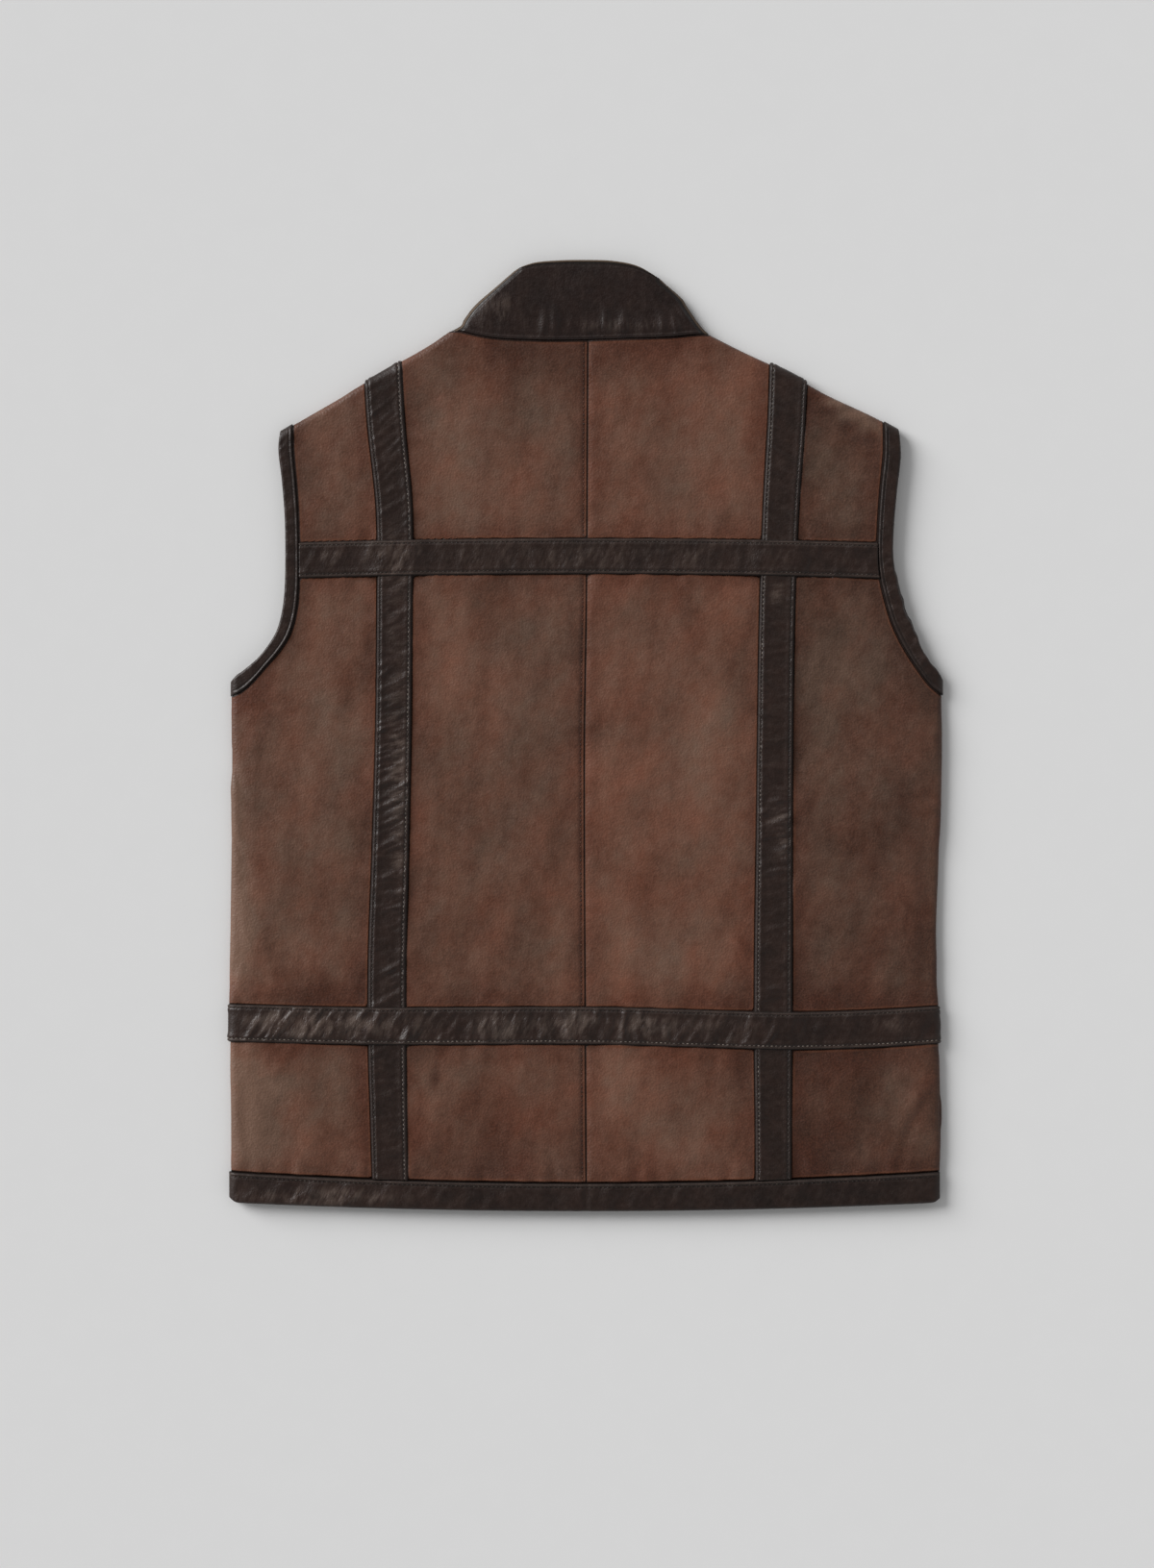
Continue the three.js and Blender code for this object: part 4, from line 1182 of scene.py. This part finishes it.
def back_panel(kind, side, at, seam_along, row_column=None):
    """A panel of the back. A row column says where among its columns a row of sewing runs."""
    sewn_row = 0
    if row_column is not None:
        sewn_row = bell(centre_x(at[..., 1]) - at[..., 0] - SEWN_ROW, SEWN_ROW_WIDTH)
    places, normals = lay(at, panel_relief(at) - SEWN_ROW_DEPTH * sewn_row, "back", seam_along=seam_along)
    shade = SHADES[f"{kind}_{side}"]
    shades = zip(tone_at(at, STAINS_SHEEN_AND_SHADE), shade, SEWN_ROW_SHADE)
    tones = tuple(patched + even + row * sewn_row for patched, even, row in shades)
    ends = [hem_gap(at), *(curve_gap(at, arm_seam[end]) for end in SIGN), curve_gap(at, neck_seam)]
    ends_shade_gap = np.maximum(np.min(ends, axis=0) - ENDS_SHADE_WIDENING, 0)
    distance = np.min([vertical_gap(at), cross_gap(at), centre_gap(at), ends_shade_gap], axis=0)
    name = f"{kind}_panel_{side}"
    piece = sewn(name, places, normals, tones, distance, PANEL_SHELL)
    rows = []
    if row_column is not None:
        rows = [stitched(f"{name}_stitches", line_between(places, row_column), BROWN_THREAD)]
    dressed(piece, f"back_{kind}_{side}", BROWN)


def side_panel(side, outer, rows, join_y):
    """From the side seam and armhole in to the join under the vertical strip."""
    inner = upright_rail(side, lambda y: strip_x[side](y) - SIGN[side] * SEAM / 2, join_y)
    columns = shares(SIDE_WIDTH, PANEL_STEP, start=FOLD_STOPS)
    start, end = arm_share[side], join_share[side]

    def on_shoulder(u):
        return shoulder[side].at(start + (end - start) * u)

    at = patch(hem_rail(outer, inner), on_shoulder, outer, inner, columns, rows)
    back_panel("side", side, at, along_armhole(at, side, columns, rows))


def centre_panel(side, rows, join_y):
    """From the join under the vertical strip in to the centre back seam."""
    half = neck_middle if side == "left" else 1 - neck_middle

    def neck_point(t):
        share = t * half if side == "left" else 1 - t * half
        points = neck_seam.beside(share, -SEAM / 2)
        points[..., 0] -= np.where(t >= 1, SIGN[side] * SEAM / 2, 0)
        return points

    def over_shoulder(u):
        on_shoulder = shoulder[side].at(join_share[side] * (1 - np.minimum(u / NECK_CORNER, 1)))
        return np.where((u <= NECK_CORNER)[..., None], on_shoulder, neck_point(past(NECK_CORNER, u)))

    top_y = neck_point(np.array([1.0]))[0, 1]
    outer = upright_rail(side, lambda y: strip_x[side](y) + SIGN[side] * SEAM / 2, join_y)
    inner = upright_rail(side, lambda y: centre_x(y) - SIGN[side] * SEAM / 2, top_y)
    columns = shares(CENTRE_WIDTH, PANEL_STEP, end=CENTRE_STOPS)
    at = patch(hem_rail(outer, inner), over_shoulder, outer, inner, columns, rows)
    row_column = None
    if side == "left":
        row_column = len(columns) - 1 - np.interp(SEWN_ROW, CENTRE_STOPS, np.arange(len(CENTRE_STOPS)))
    back_panel("centre", side, at, None, row_column)


def front_panel(side, outer):
    """The front, flat on the surface, in to the lap and up to shoulder and neckline."""
    root = -SIGN[side] * LAP_ROOT

    def over_shoulder(u):
        on_shoulder = shoulder[side].at(arm_share[side] * (1 - np.minimum(u / FRONT_NECK_CORNER, 1)))
        t = past(FRONT_NECK_CORNER, u)
        on_neck = front_neck[side].beside(t, -SIGN[side] * SEAM / 2)
        on_neck[..., 0] = np.where(t >= 1, root, on_neck[..., 0])
        return np.where((u <= FRONT_NECK_CORNER)[..., None], on_shoulder, on_neck)

    lap_top = front_neck[side].beside(1.0, -SIGN[side] * SEAM / 2)[1]
    inner = upright_rail(side, lambda y: root + 0 * y, lap_top)
    rows = panel_rows(side, FRONT_STEP)
    columns = shares(FRONT_WIDTH, FRONT_STEP, start=FOLD_STOPS)
    at = patch(hem_rail(outer, inner), over_shoulder, outer, inner, columns, rows)
    armhole = along_armhole(at, side, columns, rows)
    at = lapped(at, side, LAP_COLUMNS)
    seam_along = np.zeros(at.shape)
    seam_along[:, : len(columns)] = armhole
    depth = np.zeros(at.shape[:-1])
    if side == "right":
        depth = -LAP_DROP * smooth(LAP_ROOT + LAP_SLOPE, LAP_ROOT - LAP_FLAT, SIGN[side] * -at[..., 0])
    places, normals = lay(at, depth, "front", seam_along=seam_along)
    light, red = tone_at(at, STAINS_SHEEN_AND_SHADE)
    tones = (0.5 * light + SHADES[f"side_{side}"][0], 0.5 * red)
    distance = np.minimum(hem_gap(at), curve_gap(at, arm_seam[side]))
    piece = sewn(f"front_panel_{side}", places, normals, tones, distance, FRONT_SHELL)
    dressed(piece, f"front_{side}", BROWN)


def lapped(at, side, count):
    """Plan points of a front, with the columns of its lap past the centre added."""
    lap_x = np.linspace(-LAP_ROOT, LAP, count + 1)[1:] * SIGN[side]
    lap = np.stack([np.broadcast_to(lap_x, (len(at), count)), np.repeat(at[:, -1:, 1], count, axis=1)], -1)
    return np.concatenate([at, lap], axis=1)


for side in SIGN:
    outer = panel_rail(side)
    rows = panel_rows(side, PANEL_STEP)
    join_y = shoulder[side].at(join_share[side])[1]
    side_panel(side, outer, rows, join_y)
    centre_panel(side, rows, join_y)
    front_panel(side, outer)


# Strips

STITCH_PROUD = 0.12  # how far a row of stitches stands out of its groove
PUCKERED_FROM = (0.2, 2.2)  # distances from the edge where puckers begin and where they are whole
LEAST_THINNESS = 0.1
LIFT_LEVEL = 1  # a cross strip is level from this far inside a vertical strip's edge


def over_strips(x, y):
    """How far a cross strip is lifted over the vertical strips."""
    half = strip_width(y) / 2
    over = [
        1 - smooth(half - LIFT_LEVEL, half + STRIP_RAMP, np.abs(x - strip_x[side](y))) for side in SIGN
    ]
    return (STRIP + SEAM) * np.maximum(*over)


def strip_columns(width):
    stops = np.array(STRIP_STOPS)
    return np.concatenate([stops, [width / 2], width - stops[::-1]]) / width - 0.5


def laid_strip(name, node, at, columns, width, puckers, lift, seed, threads, finish):
    """A strip over the back. Its grid's columns run over its width, and its rows along it."""
    from_edge = (0.5 - np.abs(columns)) * width
    along = at[:, len(columns) // 2, :]
    run = along[:, 0] if abs(along[-1, 0] - along[0, 0]) > abs(along[-1, 1] - along[0, 1]) else along[:, 1]
    across = np.broadcast_to(columns * width, at.shape[:-1])
    wrinkles = pucker_rise(np.broadcast_to(run[:, None], at.shape[:-1]), across, puckers, seed)
    section = strip_section(from_edge)
    depth = SEAM + section + lift + wrinkles * smooth(*PUCKERED_FROM, from_edge)
    places, normals = lay(at, depth, "back", bridges=True, shift=SEAM / 2)
    distance = np.broadcast_to(from_edge, at.shape[:-1])
    thinness = np.broadcast_to(np.clip(section / STRIP_SHELL, LEAST_THINNESS, 1), at.shape[:-1])
    piece = sewn(name, places, normals, tone_at(at, DARK_SHEEN_PATCHES), distance, STRIP_SHELL, thinness)
    for edge, sign, thread_finish in zip(("low", "high"), (-1, 1), threads):
        offset = (width / 2 - STITCH_FROM_EDGE) * sign
        column = float(np.interp(offset, columns * width, np.arange(len(columns))))
        line = line_between(places, column) + normals[:, int(column)] * STITCH_PROUD
        stitched(f"{name}_{edge}_stitches", line, thread_finish)
    dressed(piece, node, finish)


def vertical_strip(side):
    """From the hem seam, over the join of two panels, to the shoulder."""
    columns = strip_columns(VERTICAL_WIDTH)
    top_x = strip_x[side](STRIP_TOP) + columns * strip_width(STRIP_TOP)
    top_y = shoulder[side].at(shoulder[side].share_at(0, top_x))[:, 1]
    hem_x = strip_x[side](HEM_SEAM) + columns * strip_width(HEM_SEAM)
    bottom_y = hem_seam_y(hem_x) + SEAM / 2
    rows = shares(VERTICAL_LENGTH, VERTICAL_STEP, end=FOLD_STOPS)[:, None]
    y = bottom_y + (top_y - bottom_y) * rows
    level = np.minimum(y, STRIP_TOP)
    at = np.stack([strip_x[side](level) + columns * strip_width(level), y], -1)
    threads = (DARK_THREAD, WORN_THREAD)[:: SIGN[side]]
    laid_strip(
        f"vertical_strip_{side}", f"strip_vertical_{side}", at, columns, VERTICAL_WIDTH,
        VERTICAL_PUCKERS[side], 0, VERTICAL_SEEDS[side], threads,
        DARK_UPRIGHT,
    )


def cross_strip(name, node, height_at, width, ends, end_stops, puckers, length, seed, threads):
    """From side to side of the back, over the vertical strips."""
    columns = strip_columns(width)
    y = height_at(np.array(0.0)) + columns * width
    start, end = ends("left")(y), ends("right")(y)
    rows = shares(length, CROSS_STEP, start=end_stops, end=end_stops)[:, None]
    x = start + (end - start) * rows
    at = np.stack([x, height_at(x) + columns * width], -1)
    lift = over_strips(at[..., 0], at[..., 1])
    laid_strip(
        name, node, at, columns, width, puckers, lift, seed, threads, DARK_LEVEL
    )


def chest_end(side):
    return lambda y: arm_seam[side].at(arm_seam[side].share_at(1, y))[..., 0] + SIGN[side] * SEAM


for side in SIGN:
    vertical_strip(side)
cross_strip(
    "chest_strip", "strip_chest", chest_y, CHEST_WIDTH, chest_end, (0,), CHEST_PUCKERS, CHEST_LENGTH,
    CHEST_SEED, (DARK_THREAD, DARK_THREAD),
)
cross_strip(
    "waist_strip", "strip_waist", waist_y, WAIST_WIDTH, side_x.get, FOLD_STOPS, WAIST_PUCKERS, WAIST_LENGTH,
    WAIST_SEED, (WORN_THREAD, DARK_THREAD),
)


# Bound edges

SEAM_FOOT = -0.4  # how deep a bound edge reaches down at its seam, as a share of its half depth
EDGE_SLOPE = 4  # outside the lap a front's edge thins over this width
TURNED_UNDER = 9  # how far it reaches back under, from the edge
NOSE_POINTS = 9
UNDER_POINTS = 4

# How far its ridges and grooves lie from the seam, their width and their rise
BOUND_SEAM = [(1.5, 1.0, 0.8), (0, 0.6, -0.8)]
BINDING_GROOVE = 3
HEM_GROOVE = 3.2
GROOVE_WIDTH = 0.7
GROOVE_RISE = -0.6
RELIEF_FADE = 5  # over this much of its length at each end the relief fades out
BOUND_FINISH = 12  # its finish changes up to this far from the seam
HEM_STITCH_PROUD = 0.1

# The right binding's wavy stretch, in shares of its length: where it begins and where it ends
BINDING_WAVE = {"height": 0.8, "length": 7, "seed": 17, "from": (0.05, 0.15), "to": (0.4, 0.55)}
BINDING_STEP = 0.8

# The hem band, and the height at which its ends meet the side seams
HEM_SIDE = -360
HEM_WIDTH_STEP = 0.9


def turned_edge(width, step):
    """Stops up a bound edge's seam, over its nose and back under: distance from the edge, share of depth."""
    over = np.linspace(width, NOSE, max(round((width - NOSE) / step), 2) + 1)[:-1]
    turn = np.radians(np.linspace(90, -90, NOSE_POINTS))
    under = np.linspace(NOSE, TURNED_UNDER, UNDER_POINTS)[1:]
    from_edge = np.concatenate([[width], over, NOSE * (1 - np.cos(turn)), under])
    share = np.concatenate([[SEAM_FOOT], np.ones(len(over)), np.sin(turn), -np.ones(len(under))])
    return from_edge, share


def bound_edge(name, node, seam, edge, layer, step, groove, seed, puckers, tangent=None,
               stitch_at=None, thin_lap=None):
    """Cloth bound round an edge. Seam and edge are runs of plan points, one pair to a row."""
    width = float(np.linalg.norm(edge - seam, axis=-1).max())
    from_edge, share = turned_edge(width, step)
    if layer == "back":
        outer, inner, shift = BINDING_RISE, -WALL, 0
    else:
        outer, inner, shift = 0, -WALL - BINDING_RISE, BINDING_RISE
    outer, inner = np.full(len(seam), float(outer)), np.full(len(seam), float(inner))
    if thin_lap is not None:
        outer, inner = thin_lap(seam[:, 0], outer, inner)
    middle, half = (outer + inner) / 2, (outer - inner) / 2
    t = (1 - from_edge / width)[None, :, None]
    at = seam[:, None] * (1 - t) + edge[:, None] * t
    reach = reach_along(edge)[:, None]
    on_top = np.clip(share, 0, 1)
    from_seam = width - from_edge
    relief = pucker_rise(reach, PUCKER_SPREAD - from_seam, puckers, seed)
    relief = ridged(relief, from_seam, [(groove, GROOVE_WIDTH, GROOVE_RISE), *BOUND_SEAM])
    relief = relief * smooth(0, RELIEF_FADE, reach) * smooth(0, RELIEF_FADE, reach[-1] - reach)
    depth = middle[:, None] + half[:, None] * share + relief * on_top * (layer == "back")
    seam_along = None
    if tangent is not None:
        seam_along = np.zeros(at.shape)
        seam_along[:, from_edge >= width - 1e-6] = tangent[:, None]
    places, normals = lay(at, depth, layer, shift=shift, seam_along=seam_along)
    distance = np.broadcast_to(np.minimum(from_seam, BOUND_FINISH) + 0 * reach, at.shape[:-1])
    top = on_top > 0
    piece = sewn(name, places, normals * top[:, None], tone_at(at, DARK_SHEEN_PATCHES), distance, EDGE_SHELL)
    rows = []
    if stitch_at is not None:
        before_edge = np.arange(np.argmin(from_edge))
        column = float(np.interp(stitch_at, from_seam[before_edge], before_edge))
        line = line_between(places, column) + (0, 0, HEM_STITCH_PROUD)
        rows = [stitched(f"{name}_stitches", line, DARK_THREAD)]
    dressed(piece, node, DARK if tangent is not None else DARK_LEVEL)


def binding(side, layer):
    """Round one layer's armhole. The right front's shows a little more of itself, past the back's."""
    curve = arm_seam[side]
    v = shares(curve.length, EDGE_STEP, end=FOLD_STOPS)
    seam = curve.beside(v, SIGN[side] * SEAM / 2)
    edge = arm_edge[side].at(v)
    out = edge - seam
    out = out / np.linalg.norm(out, axis=-1, keepdims=True)
    further = np.zeros(len(v))
    if side == "right":
        wave = BINDING_WAVE
        ripple = wave["height"] * rumple(v * curve.length / wave["length"], 0 * v, wave["seed"])
        ripple = ripple * smooth(*wave["from"], v) * (1 - smooth(*wave["to"], v))
        peek = FRONT_ARMHOLE_PEEK if layer == "front" else 0
        further = peek * np.sin(math.pi * np.clip(v / PEEK_END, 0, 1)) ** 2 + ripple
    edge = edge + out * further[:, None]
    bound_edge(
        f"binding_{side}_{layer}", f"armhole_binding_{side}_{layer}", seam, edge, layer,
        BINDING_STEP, BINDING_GROOVE, BINDING_SEEDS[side], BINDING_PUCKERS[side],
        tangent=curve.along(v),
    )


def in_lap(side):
    """Inside the lap the left front's edge takes the lower half of the thickness, the right's the upper."""

    def thinned(x, outer, inner):
        inside = smooth(LAP_ROOT + EDGE_SLOPE, LAP_ROOT - LAP_FLAT, SIGN[side] * -x)
        middle = (outer + inner) / 2
        if side == "left":
            return outer, inner + (middle + SEAM / 2 - inner) * inside
        return outer + (middle - SEAM / 2 - outer) * inside, inner

    return thinned


def hem_band(name, node, layer, start, end, thin_lap=None):
    """Round the hem of one layer, from one end's x to the other's."""
    step = EDGE_STEP if layer == "back" else HIDDEN_EDGE_STEP
    x = start + (end - start) * shares(end - start, step, start=FOLD_STOPS, end=FOLD_STOPS)
    seam, edge = (np.stack([x, y], -1) for y in (hem_seam_y(x) - SEAM / 2, hem_edge_y(x)))
    bound_edge(
        name, node, seam, edge, layer, HEM_WIDTH_STEP, HEM_GROOVE, HEM_SEED, HEM_PUCKERS,
        stitch_at=HEM_GROOVE if layer == "back" else None, thin_lap=thin_lap,
    )


for side in SIGN:
    binding(side, "back")
    binding(side, "front")
hem_left, hem_right = (float(side_x[side](HEM_SIDE)) for side in SIGN)
facings = ["hem_facing_left", "hem_facing_right"]
hem_band("hem_band", "hem_band_back", "back", hem_left, hem_right)
hem_band(facings[0], "hem_band_front_left", "front", hem_left, LAP, in_lap("left"))
hem_band(facings[1], "hem_band_front_right", "front", -LAP, hem_right, in_lap("right"))


# The collar: one band from the lap, round under the left fold, across the back neck and round to the lap

COLLAR_WIDTH_STEP = 1.5
COLLAR_LAP_COLUMNS = 6
COLLAR_TAPER = 0.06  # share of the neck seam over which its proud face comes down to the panels at each end

# Ridges and grooves: how far from the seam or the edge, width, rise
COLLAR_SEAM_RIDGES = [(1.8, 1.3, 0.5), (0, 0.6, -0.9), (4, 1, -0.5)]
COLLAR_EDGE_GROOVE = [(3.4, 0.8, -0.5)]

# Its soft forms: height and length across and up of its unevenness, and place, reach and rise of its bulge
COLLAR_UNEVENNESS = (0.5, 30, 22)
COLLAR_BULGE = (-55, 30, 34, 22, 0.8)
COLLAR_FOLD_REACH = 9

# How far past its edge and its side folds the finish of its rim is counted from
COLLAR_EDGE_PAST = 1.1
COLLAR_FOLD_PAST = 0.6


def spread(from_edge, bottom, top, left, right, across):
    """Plan points of a stretch of the collar, in rows from its seam over its edge and back under."""
    v = 1 - from_edge / COLLAR_HEIGHT
    order = np.argsort(v, kind="stable")
    at = patch(bottom, top, left, right, across, np.append(v[order], 1.0))
    rows = np.empty_like(at[:-1])
    rows[order] = at[:-1]
    return rows


def collar_relief(x, from_seam, from_edge):
    relief = ridged(0, from_seam, COLLAR_SEAM_RIDGES)
    relief = ridged(relief, from_edge, COLLAR_EDGE_GROOVE)
    swell, swell_across, swell_up = COLLAR_UNEVENNESS
    relief = relief + swell * rumple(x / swell_across, from_seam / swell_up, COLLAR_SEED)
    bulge_x, bulge_up, wide, tall, bulge = COLLAR_BULGE
    relief = relief + bulge * bell(from_seam - bulge_up, tall) * bell(x - bulge_x, wide)
    for fold_x, height, width, rise, lean in COLLAR_FOLDS:
        fold = bell(x - fold_x - lean * from_seam, width)
        relief = relief + rise * fold * bell(from_seam - height, COLLAR_FOLD_REACH)
    return relief


def collar_back(from_edge, share, u):
    """The half that shows, over the back neck seam."""

    def seam(t):
        return neck_seam.beside(t, SEAM / 2)

    at = spread(from_edge, seam, collar_top.at, collar_fold["left"].at, collar_fold["right"].at, u)
    taper = smooth(0, COLLAR_TAPER, u) * smooth(0, COLLAR_TAPER, 1 - u)
    outer, inner = BINDING_RISE * taper[None, :], -WALL
    depth = (outer + inner) / 2 + (outer - inner) / 2 * share[:, None]
    relief = collar_relief(at[..., 0], COLLAR_HEIGHT - from_edge[:, None], from_edge[:, None])
    top = np.clip(share, 0, 1)[:, None]
    return at, *lay(at, depth + relief * top * taper, "back", NECK, True)


def collar_front(side, from_edge, share):
    """The half under it, along one front's neckline and into the lap."""
    neck, top = front_neck[side], front_top[side]

    def end_rail(w):
        low = neck.beside(1.0, SIGN[side] * SEAM / 2)[1]
        y = low + (top.at(1.0)[1] - low) * w
        return np.stack([-SIGN[side] * LAP_ROOT + 0 * y, y], -1)

    def seam(t):
        return neck.beside(t, SIGN[side] * SEAM / 2)

    across = shares(neck.length, FRONT_COLLAR_STEP, start=FOLD_STOPS)
    at = spread(from_edge, seam, top.at, collar_fold[side].at, end_rail, across)[:, 1:]
    at = lapped(at, side, COLLAR_LAP_COLUMNS)
    whole = np.zeros(at.shape[:-1])
    outer, inner = in_lap(side)(at[..., 0], whole, whole - WALL)
    depth = (outer + inner) / 2 + (outer - inner) / 2 * share[:, None]
    return at, *lay(at, depth, "front", NECK)


def laid_collar():
    from_edge, share = turned_edge(COLLAR_HEIGHT, COLLAR_WIDTH_STEP)
    u = shares(neck_seam.length, COLLAR_STEP, start=FOLD_STOPS, end=FOLD_STOPS)
    back = collar_back(from_edge, share, u)
    left, right = (collar_front(side, from_edge, share) for side in SIGN)
    at, places, normals = (
        np.concatenate([parts[0][:, ::-1], parts[1], parts[2]], axis=1) for parts in zip(left, back, right)
    )
    first = left[0].shape[1]
    facing = normals * (share > 0)[:, None, None]
    facing[:, :first] = 0
    facing[:, first + len(u) :] = 0
    rim = np.minimum(from_edge[:, None] + COLLAR_EDGE_PAST, nearest_fold(at, NECK)[0] + COLLAR_FOLD_PAST)
    piece = sewn("collar_band", places, facing, tone_at(at, DARK_SHEEN_PATCHES), rim, EDGE_SHELL)
    dressed(piece, "collar", COLLAR_LEATHER)


laid_collar()


# Surface, light and camera

FLOOR_HALF = 3  # metres
WINDOW_STRENGTH = 3.55
WINDOW_WIDTH = math.radians(36)
WINDOW_SIDE = (-1.6, 1, 0.88)  # where its light comes from
ROOM_LIGHT = {"From Min": 0.75, "From Max": 0.98, "To Min": 0.47, "To Max": 0.08}  # dimmer straight overhead
CAMERA_PLACE = (-0.0064, -0.0381, 2.915)  # metres, looking straight down
LENS = 85
SENSOR = 36


def laid_floor():
    bm = bmesh.new()
    bmesh.ops.create_grid(bm, x_segments=8, y_segments=8, size=FLOOR_HALF)
    mesh = bpy.data.meshes.new("floor")
    bm.to_mesh(mesh)
    bm.free()
    mesh.materials.append(pale_surface())
    linked("floor", mesh)


def lit_window():
    window = bpy.data.lights.new("window", "SUN")
    window.energy = WINDOW_STRENGTH
    window.angle = WINDOW_WIDTH
    linked("window", window).rotation_euler = Vector(WINDOW_SIDE).to_track_quat("Z", "Y").to_euler()


def lit_room():
    room = bpy.data.worlds.new("room")
    room.use_nodes = True
    nodes, links = room.node_tree.nodes, room.node_tree.links
    nodes["Background"].inputs["Color"].default_value = (1, 1, 1, 1)
    way = nodes.new("ShaderNodeTexCoord")
    height = nodes.new("ShaderNodeSeparateXYZ")
    ceiling = nodes.new("ShaderNodeMapRange")
    ceiling.interpolation_type = "SMOOTHSTEP"
    for socket, value in ROOM_LIGHT.items():
        ceiling.inputs[socket].default_value = value
    links.new(way.outputs["Generated"], height.inputs[0])
    links.new(height.outputs["Z"], ceiling.inputs["Value"])
    links.new(ceiling.outputs[0], nodes["Background"].inputs["Strength"])
    bpy.context.scene.world = room
    bpy.context.scene.view_settings.view_transform = "Standard"


def placed_camera():
    camera = bpy.data.cameras.new("camera")
    camera.lens = LENS
    camera.sensor_width = SENSOR
    camera_object = linked("camera", camera)
    camera_object.location = CAMERA_PLACE
    bpy.context.scene.camera = camera_object


laid_floor()
lit_window()
lit_room()
placed_camera()
